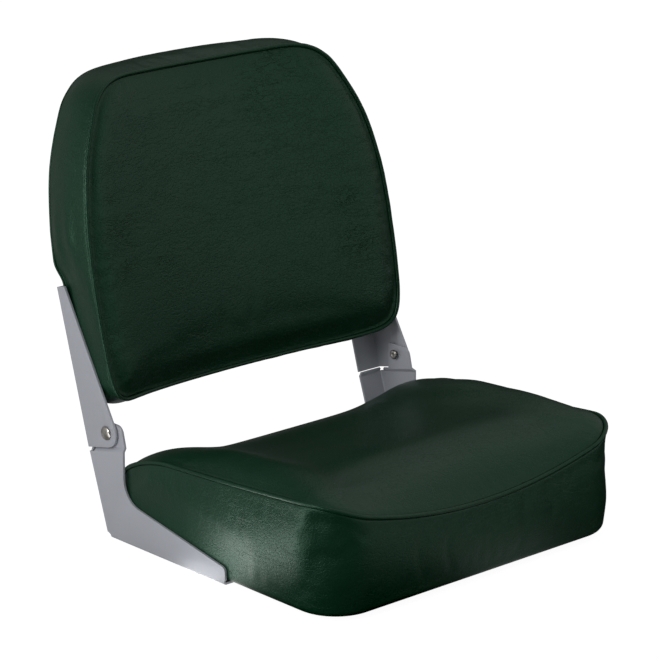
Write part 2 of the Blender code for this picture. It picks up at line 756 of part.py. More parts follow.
def seat_face(across: float, along: float, gap: float) -> float:
    """Return the seat's top: side line, front roll, rear roll, dish and crown."""
    back = along - PIVOT_BEHIND_MOUNT
    height = side_height(back)
    roll = max(0, -FRONT_ROLL_START - back) / (SEAT_FRONT_REACH - FRONT_ROLL_START)
    spread = max(0, 1 - (across / SEAT_HALF_WIDTH) ** 2)
    height -= FRONT_DROP * spread * roll ** FRONT_ROLL_POWER
    into = 1 - math.exp(-gap / SEAT_CROWN_LENGTH)
    crown = SEAT_CROWN * (1 - smoothstep((back + CROWN_REAR) / CROWN_FADE))
    dish = DISH_DEPTH * smoothstep((back + DISH_FRONT) / (DISH_FRONT - DISH_FULL))
    dish += SCOOP_DEPTH * smoothstep((back + SCOOP_FRONT) / SCOOP_LENGTH)
    dish *= math.exp(-(across / DISH_HALF_WIDTH) ** DISH_POWER)
    return PIVOT_ABOVE_MOUNT + height + (crown - dish) * into


def same_place(point):
    """Leave a point where it is."""
    return point


SEAT = Cushion(seat_outline(), seat_face, same_place)
WALL_TOP_DROP = WELT_RADIUS + CLEARANCE


def plate_cover(back: float, height: float) -> float:
    """Return 1 where the lower bracket presses the wall and 0 well clear of it."""
    ahead_of_neck = -LOWER_NECK_REACH - back
    ahead = RAMP_START - back
    above = height - plate_height(back) - LOWER_FLANGE_HEIGHT
    return press(min(ahead_of_neck, max(ahead, above)))


def press(clear: float) -> float:
    """Return how hard a bracket presses the cover at a distance from its edge."""
    return smoothstep(1 - (clear - PRESS_REACH) / PRESS_FADE)


def seat_wall(index: int, share: float) -> Vector:
    """Return the seat wall's outer face, from the welt down to the hem's turn."""
    spot = SEAT.outline[index]
    out = SEAT.outward(index)
    top = SEAT.seam(index).z - SEAT.wall_drop(index)
    height = top + (SEAT_HEM_BOTTOM + HEM_RADIUS - top) * share
    free = SEAM_PROUD * (1 - share) + SEAT_BULGE * math.sin(math.pi * share) ** BULGE_POWER
    pressed = PLATE_X - CLEARANCE - SEAT_HALF_WIDTH
    sideways = smoothstep(abs(out.x) * 2 - 1)
    cover = plate_cover(spot.y - PIVOT_BEHIND_MOUNT, height) * sideways
    shift = free + (pressed - free) * cover
    return Vector((spot.x + out.x * shift, spot.y + out.y * shift, height))


def inset_ring(inset: float, height: float):
    """Return the seat's outline drawn in by an inset at one height."""
    ring = []
    for index, spot in enumerate(SEAT.outline):
        out = SEAT.outward(index)
        ring.append(Vector((spot.x - out.x * inset, spot.y - out.y * inset, height)))
    return ring


def hem_turn(angle: float, depth: float):
    """Return the hem's rounded turn at an angle below the horizontal."""
    radius = HEM_RADIUS - depth
    ring = []
    for index in range(len(SEAT.outline)):
        out = SEAT.outward(index)
        foot = seat_wall(index, 1)
        inward = HEM_RADIUS - radius * math.cos(angle)
        ring.append(Vector((foot.x - out.x * inward, foot.y - out.y * inward,
                            SEAT_HEM_BOTTOM + HEM_RADIUS - radius * math.sin(angle))))
    return ring


def make_seat_cover():
    """Model the seat's top panel, its welt and the side band with its hem."""
    panel = loft("seat_top_panel", SEAT.panel_rings(SEAT_RING_SHARES, WELT_RADIUS))
    add_part("seat_top_panel", panel, GREEN_VINYL)
    add_part("seat_welt", tube_curve("seat_welt", SEAT.welt_points(), WELT_RADIUS), GREEN_VINYL)
    outer = [SEAT.wall_ring(seat_wall, share, 0) for share in BAND_SHARES]
    inner = [SEAT.wall_ring(seat_wall, share, VINYL) for share in BAND_SHARES]
    turns = (math.pi / 4, math.pi / 2)
    outer += [hem_turn(angle, 0) for angle in turns]
    inner += [hem_turn(angle, VINYL) for angle in turns]
    outer.append(inset_ring(HEM_WIDTH, SEAT_HEM_BOTTOM))
    inner.append(inset_ring(HEM_WIDTH, SEAT_HEM_BOTTOM + VINYL))
    band = loft("seat_side_band", outer + inner[::-1], closed=True)
    item = add_part("seat_side_band", band, GREEN_VINYL)
    cut_screw_holes(item)


def lower_screw_places():
    """List the lower screws' places with their names and sides."""
    places = []
    for side, word in ((-1, "left"), (1, "right")):
        for number, share in enumerate(LOWER_SCREW_SHARES, 1):
            places.append((f"{word}_seat_screw_{number}", mirrored(lower_screw_point(share), side)))
    return places


def cut_screw_holes(item):
    """Pass the lower screws through a piece of the seat."""
    length = 2 * (SCREW_LENGTH + CUT_OVERRUN)
    for name, place in lower_screw_places():
        hole = rod_cutter(f"{item.name}_{name}", SCREW_HOLE_RADIUS, length, place)
        boolean(item, hole, "DIFFERENCE")


def make_seat_foam():
    """Model the seat's foam, just inside its cover and on the pan."""
    depth = VINYL + CLEARANCE
    rings = [SEAT.face_ring(share, depth) for share in SEAT_RING_SHARES]
    rings += SEAT.foam_neck()
    wall_floor = PAN_TOP + CLEARANCE
    for share in BAND_SHARES[1:]:
        rings.append([Vector((p.x, p.y, max(p.z, wall_floor)))
                      for p in SEAT.wall_ring(seat_wall, share, depth)])
    rings[-1] = [Vector((p.x, p.y, wall_floor)) for p in rings[-1]]
    add_part("seat_foam", loft("seat_foam", rings), SEAT_FOAM)


def box_mesh(name: str, size, centre, corner: float = 0):
    """Return a box, with upright edges rounded if a corner radius is given."""
    bm = bmesh.new()
    bmesh.ops.create_cube(bm, size=1, matrix=Matrix.Translation(centre) @ Matrix.Diagonal((*size, 1)))
    if corner:
        upright = [edge for edge in bm.edges
                   if abs(edge.verts[0].co.z - edge.verts[1].co.z) > WELD_DISTANCE]
        bmesh.ops.bevel(bm, geom=upright, offset=corner, segments=BEND_STEPS, affect="EDGES")
    return mesh_from(bm, name)


def make_seat_pan():
    """Model the moulded pan: rimmed floor, ribs and the flat swivel-mount pad."""
    floor_bottom = PAN_TOP - PAN_FLOOR
    rim_inner = PAN_INSET + PAN_RIM_WIDTH
    rings = [
        inset_ring(rim_inner + PAN_RIM_DRAFT, floor_bottom),
        inset_ring(rim_inner, PAN_BOTTOM),
        inset_ring(PAN_INSET + PAN_EDGE_RADIUS, PAN_BOTTOM),
        inset_ring(PAN_INSET, PAN_BOTTOM + PAN_EDGE_RADIUS),
        inset_ring(PAN_INSET, PAN_TOP),
    ]
    pan = add_part("seat_pan", loft("seat_pan", rings), MOULDED_FRAME)
    pad_top = PAN_TOP - MOUNT_SEAT_DEPTH
    pad = add_cutter("mount_pad", box_mesh(
        "mount_pad", (MOUNT_PAD_SIDE, MOUNT_PAD_SIDE, pad_top), (0, 0, pad_top / 2), MOUNT_PAD_CORNER))
    boolean(pan, pad, "UNION")
    rib_centre = floor_bottom - RIB_HEIGHT / 2 + CLEARANCE
    across = 2 * (SEAT_HALF_WIDTH - rim_inner)
    along = SEAT_FRONT_REACH - SEAT_REAR_REACH - 2 * rim_inner
    for number, share in enumerate(RIB_OFFSET_SHARES, 1):
        shift = share * MOUNT_PAD_SIDE
        sideways = box_mesh(f"rib_across_{number}", (across, RIB_THICKNESS, RIB_HEIGHT),
                            (0, shift, rib_centre))
        endways = box_mesh(f"rib_along_{number}", (RIB_THICKNESS, along, RIB_HEIGHT),
                           (shift, 0, rib_centre))
        for rib in (sideways, endways):
            boolean(pan, add_cutter(rib.name, rib), "UNION")
    for x_side in (-1, 1):
        for y_side in (-1, 1):
            spot = (x_side * MOUNT_HOLE_SPACING / 2, y_side * MOUNT_HOLE_SPACING / 2)
            word = f"{x_side}_{y_side}"
            bore = rod_cutter("mount_hole_" + word, MOUNT_HOLE_RADIUS,
                              2 * (PAN_TOP + CUT_OVERRUN), (*spot, 0))
            seat = rod_cutter("tee_seat_" + word, MOUNT_SEAT_RADIUS,
                              2 * MOUNT_SEAT_DEPTH, (*spot, PAN_TOP))
            vent_at = (x_side * SEAT_HALF_WIDTH * VENT_SHARES[0],
                       y_side * SEAT_FRONT_REACH / 2 * VENT_SHARES[1], PAN_TOP)
            vent = rod_cutter("vent_" + word, VENT_RADIUS, 2 * (PAN_THICKNESS + CUT_OVERRUN), vent_at)
            for cutter in (bore, seat, vent):
                boolean(pan, cutter, "DIFFERENCE")
            make_tee_nut(f"tee_nut_{'front' if y_side < 0 else 'rear'}_"
                         f"{'left' if x_side < 0 else 'right'}", spot)
    cut_screw_holes(pan)


def make_tee_nut(name: str, spot):
    """Model one flanged nut that hangs in its hole from the pan's upper side."""
    top = PAN_TOP - CLEARANCE
    under = top - TEE_FLANGE_THICKNESS
    profile = [(TEE_BORE_RADIUS, top), (TEE_FLANGE_RADIUS, top), (TEE_FLANGE_RADIUS, under),
               (TEE_BARREL_RADIUS, under), (TEE_BARREL_RADIUS, under - TEE_BARREL_LENGTH),
               (TEE_BORE_RADIUS, under - TEE_BARREL_LENGTH)]
    item = turned(name, profile, BARE_STEEL, SCREW_STEPS, closed=True)
    item.location = (*spot, 0)


def back_outline():
    """Return the backrest's front seam, across and up its slope, counterclockwise."""
    height = BACK_TOP - BACK_BOTTOM
    half = [Vector((x * BACK_HALF_WIDTH, BACK_BOTTOM + v * height)) for x, v in BACK_OUTLINE_SHARES]
    left = [Vector((-point.x, point.y)) for point in half[-2:0:-1]]
    return smooth_loop(half + left)


def smooth_loop(points):
    """Return a smooth closed curve through the points, with even steps in each span."""
    loop = []
    count = len(points)
    for index in range(count):
        before, here = points[index - 1], points[index]
        after, beyond = points[(index + 1) % count], points[(index + 2) % count]
        for step in range(SPAN_STEPS):
            t = step / SPAN_STEPS
            leave = (after - before) / 2
            arrive = (beyond - here) / 2
            loop.append(here * (2 * t ** 3 - 3 * t ** 2 + 1) + leave * (t ** 3 - 2 * t ** 2 + t)
                        + after * (3 * t ** 2 - 2 * t ** 3) + arrive * (t ** 3 - t ** 2))
    return loop


BACK_MIDDLE = (BACK_TOP + BACK_BOTTOM) / 2


def back_place(point) -> Vector:
    """Carry a backrest point from its own frame to the frame about the rivets."""
    across, up, out = point
    up += BACK_MIDDLE
    return Vector((across, up * math.sin(BACK_LEAN) - out * math.cos(BACK_LEAN),
                   up * math.cos(BACK_LEAN) + out * math.sin(BACK_LEAN)))


def back_face(across: float, _up: float, gap: float) -> float:
    """Return the backrest's hollowed and crowned front."""
    hollow = BACK_HOLLOW * (across / BACK_HALF_WIDTH) ** 2
    return hollow - BACK_SEAM_BEHIND + BACK_CROWN * (1 - math.exp(-gap / BACK_CROWN_LENGTH))


def flange_out(up: float) -> float:
    """Return where the upper flange's inner face stands in the backrest's frame."""
    tilt = UPPER_LEAN - BACK_LEAN
    reach = UPPER_REAR_REACH - SHEET
    return -(reach + up * math.sin(tilt)) / math.cos(tilt)


def released(up: float) -> float:
    """Return 0 where the upper flanges press the cover and 1 well above them."""
    return smoothstep((up - UPPER_TOP_REACH - RELEASE_MARGIN) / RELEASE_LENGTH)


def blend(pressed: float, free: float, up: float) -> float:
    """Return a length that changes where the upper flanges let the cover go."""
    return pressed + (free - pressed) * released(up)


def back_rear(across: float, up: float) -> float:
    """Return the backrest's rear face: flat lands under the flanges, bowed between."""
    top = flange_out(UPPER_TOP_REACH)
    fall = max(0, up - UPPER_TOP_REACH) / (BACK_TOP - UPPER_TOP_REACH)
    land = flange_out(up) if up < UPPER_TOP_REACH else top - BACK_REAR_FALL * fall
    bow = BACK_REAR_HOLLOW * (min(abs(across), BACK_LAND_EDGE) / BACK_LAND_EDGE) ** 2
    return land + CLEARANCE + bow - BACK_REAR_HOLLOW - blend(0, RELEASE_BULGE, up)


def rear_spot(spot, out, inset: float = 0) -> Vector:
    """Return the rear outline's point: the front outline stretched up and down."""
    up = spot.y + BACK_MIDDLE
    high = smoothstep((up - BACK_RISE_START) / (BACK_TOP - BACK_RISE_START))
    low = smoothstep((BACK_DROP_END - up) / (BACK_DROP_END - BACK_BOTTOM))
    rise = BACK_TOP_RISE * high - BACK_BOTTOM_DROP * low
    flare = BACK_TOP_FLARE * high - inset
    return Vector((spot.x + out.x * flare, spot.y + rise - out.y * inset))


BACK = Cushion([point - Vector((0, BACK_MIDDLE)) for point in back_outline()], back_face, back_place)


def rear_face(across: float, up: float, _gap: float) -> float:
    """Return the rear panel's height in the rear panel's mirrored frame."""
    return -back_rear(across, up + BACK_MIDDLE)


def rear_seam_face(across: float, up: float, gap: float) -> float:
    """Return the rear panel, rounded down to its seam at the edge."""
    drop = blend(REAR_SEAM_DROP, RELEASED_DROP, up + BACK_MIDDLE)
    return rear_face(across, up, gap) - drop * (1 - smoothstep(gap / REAR_ROUNDING))


def rear_place(point) -> Vector:
    """Carry a rear panel point to the frame about the rivets."""
    return back_place((point[0], point[1], -point[2]))


def seam_inset(spot) -> float:
    """Return how far in from the band the rear seam lies at a point of the outline."""
    return blend(REAR_SEAM_INSET, RELEASED_INSET, spot.y + BACK_MIDDLE)


BACK_REAR = Cushion([rear_spot(spot, BACK.outward(index), seam_inset(spot))
                     for index, spot in enumerate(BACK.outline)], rear_seam_face, rear_place)


def bracket_cover(point) -> float:
    """Return 1 where the upper bracket presses the backrest's wall and 0 clear of it."""
    spot = back_place(point)
    front = UPPER.front_normal()
    ahead = front.x * spot.y + front.y * spot.z - UPPER_NOSE_RADIUS
    above = UPPER.along.x * spot.y + UPPER.along.y * spot.z - UPPER_TOP_REACH
    return press(max(ahead, above))


def back_wall(index: int, share: float) -> Vector:
    """Return the backrest wall's outer face, from the front welt to the rear welt."""
    spot = BACK.outline[index]
    out = BACK.outward(index)
    rear = rear_spot(spot, out)
    front_out = BACK.seam(index).z - BACK.wall_drop(index)
    rear_out = -BACK_REAR.seam(index).z + REAR_WELT_RADIUS + CLEARANCE
    point = Vector((*spot.lerp(rear, share), front_out + (rear_out - front_out) * share))
    last_turn = smoothstep((share - BAND_SHARES[-2]) / (1 - BAND_SHARES[-2]))
    turn_in = (seam_inset(spot) - SEAM_PROUD) * last_turn
    free = SEAM_PROUD + BACK_BULGE * math.sin(math.pi * share) ** BULGE_POWER
    pressed = PLATE_X - CLEARANCE - abs(point.x)
    sideways = smoothstep(abs(out.x) * 2 - 1)
    shift = free + (min(pressed, free) - free) * bracket_cover(point) * sideways - turn_in
    return point + Vector((out.x, out.y, 0)) * shift


def make_back_cover(hub):
    """Model the backrest's two panels, two welts and the band between them."""
    front = loft("back_front_panel", BACK.panel_rings(BACK_RING_SHARES, WELT_RADIUS))
    add_part("back_front_panel", front, GREEN_VINYL, hub)
    rear = loft("back_rear_panel", BACK_REAR.panel_rings(BACK_RING_SHARES, REAR_WELT_RADIUS))
    rear_item = add_part("back_rear_panel", rear, GREEN_VINYL, hub)
    front_welt = tube_curve("back_front_welt", BACK.welt_points(), WELT_RADIUS)
    add_part("back_front_welt", front_welt, GREEN_VINYL, hub)
    rear_welt = tube_curve("back_rear_welt", BACK_REAR.welt_points(), REAR_WELT_RADIUS)
    add_part("back_rear_welt", rear_welt, GREEN_VINYL, hub)
    outer = [BACK.wall_ring(back_wall, share, 0) for share in BAND_SHARES]
    inner = [BACK.wall_ring(back_wall, share, VINYL) for share in BAND_SHARES]
    band = loft("back_side_band", outer + inner[::-1], closed=True)
    add_part("back_side_band", band, GREEN_VINYL, hub)
    cut_back_holes(rear_item, hub)


def back_screw_places():
    """List the upper screws' places with their names."""
    places = []
    for side, word in ((-1, "left"), (1, "right")):
        for number, share in enumerate(UPPER_SCREW_SHARES, 1):
            places.append((f"{word}_back_screw_{number}", mirrored(upper_screw_point(share), side)))
    return places


def cut_back_holes(item, hub):
    """Pass the upper screws through a piece of the backrest."""
    length = 2 * (SCREW_LENGTH + CUT_OVERRUN)
    for name, place in back_screw_places():
        hole = rod_cutter(f"{item.name}_{name}", SCREW_HOLE_RADIUS, length, place,
                          rear_screw_turn(UPPER_LEAN), hub)
        boolean(item, hole, "DIFFERENCE")


def make_back_board(hub):
    """Model the bowed board that stiffens the backrest and takes the screws."""
    depth = VINYL + CLEARANCE
    rings = [BACK_REAR.face_ring(share, depth) for share in BACK_RING_SHARES]
    front = depth + BACK_BOARD
    rings += [BACK_REAR.face_ring(share, front) for share in reversed(BACK_RING_SHARES)]
    item = add_part("back_board", loft("back_board", rings), MOULDED_FRAME, hub)
    cut_back_holes(item, hub)


def make_back_foam(hub):
    """Model the backrest's foam, between the board and the front panel."""
    depth = VINYL + CLEARANCE
    board_depth = depth + BACK_BOARD + CLEARANCE
    rings = [BACK.face_ring(share, depth) for share in BACK_RING_SHARES]
    rings += BACK.foam_neck()
    for share in BAND_SHARES[1:-1]:
        rings.append(BACK.wall_ring(back_wall, share, depth))
    rings += [BACK_REAR.face_ring(share, board_depth) for share in reversed(BACK_RING_SHARES)]
    add_part("back_foam", loft("back_foam", rings), SEAT_FOAM, hub)


def make_seat():
    """Model everything that stays with the seat."""
    make_seat_pan()
    make_seat_foam()
    make_seat_cover()
    for name, place in lower_screw_places():
        make_screw(name, place, Matrix.Rotation(math.pi, 4, "X"))
    for side, word in ((-1, "left"), (1, "right")):
        make_lower_bracket(f"{word}_lower_bracket", side)
        make_rivet(f"{word}_rivet", side)
        make_washer(f"{word}_washer", side)


def make_backrest():
    """Model everything that folds, under an empty on the rivet axis."""
    hub = bpy.data.objects.new("backrest_axis", None)
    PARTS.objects.link(hub)
    hub.location = PIVOT
    make_back_board(hub)
    make_back_foam(hub)
    make_back_cover(hub)
    for side, word in ((-1, "left"), (1, "right")):
        make_upper_bracket(f"{word}_upper_bracket", side, hub)
    outward = Matrix.Rotation(math.pi, 4, "X")
    for name, place in back_screw_places():
        make_screw(name, place, rear_screw_turn(UPPER_LEAN) @ outward, hub)


make_seat()
make_backrest()
bpy.context.view_layer.update()
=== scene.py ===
"""Looks of the folding boat seat: stitched vinyl cushions, coated brackets and a studio.

Metres, +Z up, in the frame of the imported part: the origin is the centre of the
swivel-mount face and the seat's front looks along -Y. The brackets and rivets are finer
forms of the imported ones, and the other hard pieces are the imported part's own. The vinyl
covers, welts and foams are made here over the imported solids: each cover is settled by a
short cloth simulation and then puckered along its seams.
"""

import json
import logging
import math
from collections.abc import Callable
from dataclasses import dataclass
from enum import Enum

import bpy
import numpy as np
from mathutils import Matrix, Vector


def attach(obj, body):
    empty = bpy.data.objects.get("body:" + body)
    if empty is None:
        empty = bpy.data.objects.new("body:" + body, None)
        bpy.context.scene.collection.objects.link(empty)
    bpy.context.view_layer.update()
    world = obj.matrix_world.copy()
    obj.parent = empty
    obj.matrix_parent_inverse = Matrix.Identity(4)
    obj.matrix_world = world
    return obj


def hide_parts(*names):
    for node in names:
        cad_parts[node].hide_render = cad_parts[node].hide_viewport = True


logging.basicConfig(level=logging.INFO, format="%(name)s: %(message)s")
log = logging.getLogger("boat_seat")

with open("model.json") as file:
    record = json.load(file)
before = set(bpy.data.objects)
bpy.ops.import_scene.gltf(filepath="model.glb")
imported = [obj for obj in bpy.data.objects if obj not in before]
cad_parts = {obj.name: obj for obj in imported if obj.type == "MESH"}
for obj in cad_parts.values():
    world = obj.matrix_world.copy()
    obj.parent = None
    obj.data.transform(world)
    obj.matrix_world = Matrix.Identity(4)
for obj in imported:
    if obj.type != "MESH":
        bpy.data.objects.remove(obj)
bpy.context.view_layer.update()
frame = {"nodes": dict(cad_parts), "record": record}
PIVOT = Vector(frame["record"]["behaviour"]["joints"][0]["pos_m"])

MM = 0.001
HAIR = 1e-6
CLEARANCE = 0.3 * MM

Values = float | np.ndarray
Face = Callable[[np.ndarray, np.ndarray], np.ndarray]
Socket = bpy.types.NodeSocket
Outputs = bpy.types.bpy_prop_collection


class Body(Enum):
    """The two bodies that the hinge joins."""

    SEAT = "seat"
    BACKREST = "backrest"


class Slot(Enum):
    """The record's material slots."""

    VINYL = "marine_vinyl"
    COAT = "coated_steel"
    STEEL = "bare_steel"
    FOAM = "urethane_foam"
    FRAME = "moulded_frame"
    NYLON = "white_nylon"


class Side(Enum):
    """The seat's two sides, as the sign of X."""

    LEFT = -1
    RIGHT = 1

    @property
    def word(self) -> str:
        """Return the side's word in the node names."""
        return self.name.lower()


def smoothstep(share: Values) -> Values:
    """Return an eased share between 0 and 1."""
    share = np.clip(share, 0.0, 1.0)
    return share * share * (3 - 2 * share)


def unit(vectors: np.ndarray) -> np.ndarray:
    """Return vectors of length 1."""
    return vectors / np.linalg.norm(vectors, axis=-1, keepdims=True)


def configure(target: bpy.types.bpy_struct, settings: dict) -> None:
    """Set an item's named settings."""
    for name, value in settings.items():
        setattr(target, name, value)


def link(name: str, data: bpy.types.ID) -> bpy.types.Object:
    """Return a new object in the scene.

    Args:
        name: The object's name.
        data: Its mesh, lamp or camera.

    Returns:
        The object.
    """
    piece = bpy.data.objects.new(name, data)
    bpy.context.scene.collection.objects.link(piece)
    return piece


def aim(item: bpy.types.Object, place: tuple, target: tuple) -> None:
    """Place a camera or a lamp and turn it toward a target."""
    item.location = place
    item.rotation_euler = (Vector(target) - Vector(place)).to_track_quat("-Z", "Y").to_euler()


def make_active(piece: bpy.types.Object | None) -> None:
    """Select one object alone and make it active, or none.

    Args:
        piece: The object, or None to select nothing.
    """
    bpy.ops.object.select_all(action="DESELECT")
    bpy.context.view_layer.objects.active = piece
    if piece:
        piece.select_set(True)


def edit_whole(piece: bpy.types.Object) -> None:
    """Enter edit mode on a piece with all of it selected.

    Args:
        piece: The mesh object.
    """
    make_active(piece)
    bpy.ops.object.mode_set(mode="EDIT")
    bpy.ops.mesh.select_all(action="SELECT")


def face_out(piece: bpy.types.Object) -> None:
    """Turn all of a closed piece's faces outward.

    Args:
        piece: The mesh object.
    """
    edit_whole(piece)
    bpy.ops.mesh.normals_make_consistent(inside=False)
    bpy.ops.object.mode_set(mode="OBJECT")


def apply_modifier(piece: bpy.types.Object, kind: str, settings: dict) -> None:
    """Add one modifier and apply it to its object's mesh.

    Args:
        piece: The mesh object.
        kind: The modifier's type.
        settings: Its settings, by name.
    """
    modifier = piece.modifiers.new(kind.lower(), kind)
    configure(modifier, settings)
    make_active(piece)
    bpy.ops.object.modifier_apply(modifier=modifier.name)


def mesh_object(name: str, points: np.ndarray, faces: list) -> bpy.types.Object:
    """Link a new mesh object.

    Args:
        name: The object's name.
        points: Vertex places, one row each.
        faces: Vertex numbers of each face.

    Returns:
        The linked object, smooth shaded.
    """
    data = bpy.data.meshes.new(name)
    data.from_pydata(points.tolist(), [], faces)
    data.shade_smooth()
    return link(name, data)


def rows_of(items: bpy.types.bpy_prop_collection, field: str) -> np.ndarray:
    """Return one row of three numbers for each of a mesh's vertices or normals.

    Args:
        items: The vertices or the normals.
        field: The field to read.

    Returns:
        The rows.
    """
    numbers = np.zeros(len(items) * 3)
    items.foreach_get(field, numbers)
    return numbers.reshape(-1, 3)


def set_places(data: bpy.types.Mesh, places: np.ndarray) -> None:
    """Write a mesh's vertex places."""
    data.vertices.foreach_set("co", places.ravel())
    data.update()


@dataclass
class Assembly:
    """Pieces that are built together and share the finishes."""

    palette: "Palette"

    def dress(self, piece: bpy.types.Object, slot: Slot, body: Body, *nodes: str) -> None:
        """Give a finished piece its material, its body and the nodes that it stands for.

        Args:
            piece: The finished object, in place.
            slot: The record's material slot.
            body: The body that it moves with.
            nodes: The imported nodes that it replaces.
        """
        piece.data.materials.clear()
        piece.data.materials.append(self.palette.materials[slot])
        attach(piece, body.value)
        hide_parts(*nodes)
        log.info("%s: %d faces", piece.name, len(piece.data.polygons))


def resample(line: np.ndarray, count: int) -> np.ndarray:
    """Return points at even distances along a line, its last point left out.

    Args:
        line: The line's corners, one row each.
        count: How many points to return.

    Returns:
        The points, starting with the line's first.
    """
    along = np.concatenate([[0], np.cumsum(np.linalg.norm(np.diff(line, axis=0), axis=1))])
    spots = np.linspace(0, along[-1], count, endpoint=False)
    return np.stack([np.interp(spots, along, line[:, k]) for k in range(line.shape[1])], axis=1)


def along_loop(points: np.ndarray) -> np.ndarray:
    """Return each point's distance along a closed line."""
    steps = np.linalg.norm(np.roll(points, -1, axis=0) - points, axis=1)
    return np.concatenate([[0], np.cumsum(steps)[:-1]])


def spline_loop(points: np.ndarray, steps: int) -> np.ndarray:
    """Return a smooth closed curve through points.

    Args:
        points: The points that the curve passes, one row each.
        steps: How many parts each span has.

    Returns:
        The curve's points.
    """
    before, after, beyond = (np.roll(points, shift, axis=0) for shift in (1, -1, -2))
    rows = []
    for t in np.arange(steps) / steps:
        rows.append(points * (2 * t ** 3 - 3 * t ** 2 + 1) + after * (3 * t ** 2 - 2 * t ** 3)
                    + (after - before) / 2 * (t ** 3 - 2 * t ** 2 + t)
                    + (beyond - points) / 2 * (t ** 3 - t ** 2))
    return np.stack(rows, axis=1).reshape(-1, points.shape[1])


def ring_faces(count: int, rows: int, closed: bool = False) -> list:
    """Return the four-sided faces between rows of rings.

    Args:
        count: Points in each ring.
        rows: How many rings there are.
        closed: Whether the last ring joins the first.

    Returns:
        Vertex numbers of each face.
    """
    faces = []
    for row in range(rows if closed else rows - 1):
        near, far = row * count, (row + 1) % rows * count
        for here in range(count):
            after = (here + 1) % count
            faces.append((near + here, near + after, far + after, far + here))
    return faces


@dataclass(frozen=True)
class SeamLoop:
    """A closed seam in a panel's plane, counterclockwise, in four stretches.

    The stretches run along the front or bottom, the right, the rear or top and the
    left, and opposite stretches have as many points, so that the inside fills with
    four-sided faces.
    """

    points: np.ndarray
    wide: int
    tall: int

    @classmethod
    def through(cls, line: np.ndarray, corners: list, wide: int, tall: int) -> "SeamLoop":
        """Return a loop resampled between four corners of a closed line.

        Args:
            line: The closed line's points, without its first point again at its end.
            corners: Four rough places near which the stretches meet.
            wide: Points on the first and third stretch.
            tall: Points on the second and fourth stretch.

        Returns:
            The resampled loop.
        """
        ends = [int(np.argmin(np.linalg.norm(line - np.array(corner), axis=1)))
                for corner in corners]
        stretches = []
        for number, count in enumerate((wide, tall, wide, tall)):
            first, last = ends[number], ends[(number + 1) % 4]
            chosen = [(first + step) % len(line) for step in range((last - first) % len(line) + 1)]
            stretches.append(resample(line[chosen], count))
        return cls(np.vstack(stretches), wide, tall)

    @property
    def outward(self) -> np.ndarray:
        """Return the outward normal at each point."""
        run = np.roll(self.points, -1, axis=0) - np.roll(self.points, 1, axis=0)
        return unit(np.stack([run[:, 1], -run[:, 0]], axis=1))

    @property
    def sideways(self) -> np.ndarray:
        """Return 1 where the seam faces left or right and 0 where it faces along."""
        return smoothstep(np.abs(self.outward[:, 0]) * 2 - 1)

    def spread(self, value: Values) -> np.ndarray:
        """Return a value repeated for each point."""
        return np.full(len(self.points), value)

    def inset(self, distance: float) -> np.ndarray:
        """Return the loop drawn in by a distance."""
        return self.points - self.outward * distance

    def nearest(self, spots: np.ndarray) -> tuple:
        """Return each place's distance to the seam and the number of its nearest point."""
        distance = np.linalg.norm(spots[:, None] - self.points[None], axis=2)
        return distance.min(axis=1), distance.argmin(axis=1)

    def inside(self, ring: np.ndarray) -> np.ndarray:
        """Return a net of points inside a ring that has as many points as the loop.

        Args:
            ring: The ring's points.

        Returns:
            (wide - 1) times (tall - 1) points, one row each.
        """
        wide, tall = self.wide, self.tall
        closed = np.vstack([ring, ring[:1]])
        low, right = closed[:wide + 1], closed[wide:wide + tall + 1]
        high, left = closed[wide + tall:2 * wide + tall + 1][::-1], closed[2 * wide + tall:][::-1]
        u = np.linspace(0, 1, wide + 1)[:, None, None]
        v = np.linspace(0, 1, tall + 1)[None, :, None]
        sides = (1 - v) * low[:, None] + v * high[:, None] + (1 - u) * left[None] + u * right[None]
        corners = ((1 - u) * (1 - v) * low[0] + u * (1 - v) * low[-1]
                   + (1 - u) * v * high[0] + u * v * high[-1])
        return (sides - corners)[1:-1, 1:-1].reshape(-1, ring.shape[1])

    def net_faces(self, ring_start: int, inner_start: int) -> list:
        """Return the four-sided faces of the net that fills a ring.

        Args:
            ring_start: Number of the ring's first vertex.
            inner_start: Number of the first vertex inside the ring.

        Returns:
            Vertex numbers of each face.
        """
        wide, tall = self.wide, self.tall
        index = np.zeros((wide + 1, tall + 1), int)
        inner = np.arange((wide - 1) * (tall - 1)).reshape(wide - 1, tall - 1)
        index[1:-1, 1:-1] = inner_start + inner
        around = ring_start + np.arange(2 * (wide + tall))
        index[:wide, 0] = around[:wide]
        index[wide, :tall] = around[wide:wide + tall]
        index[wide:0:-1, tall] = around[wide + tall:2 * wide + tall]
        index[0, tall:0:-1] = around[2 * wide + tall:]
        index = index.tolist()
        return [(index[u][v], index[u + 1][v], index[u + 1][v + 1], index[u][v + 1])
                for u in range(wide) for v in range(tall)]


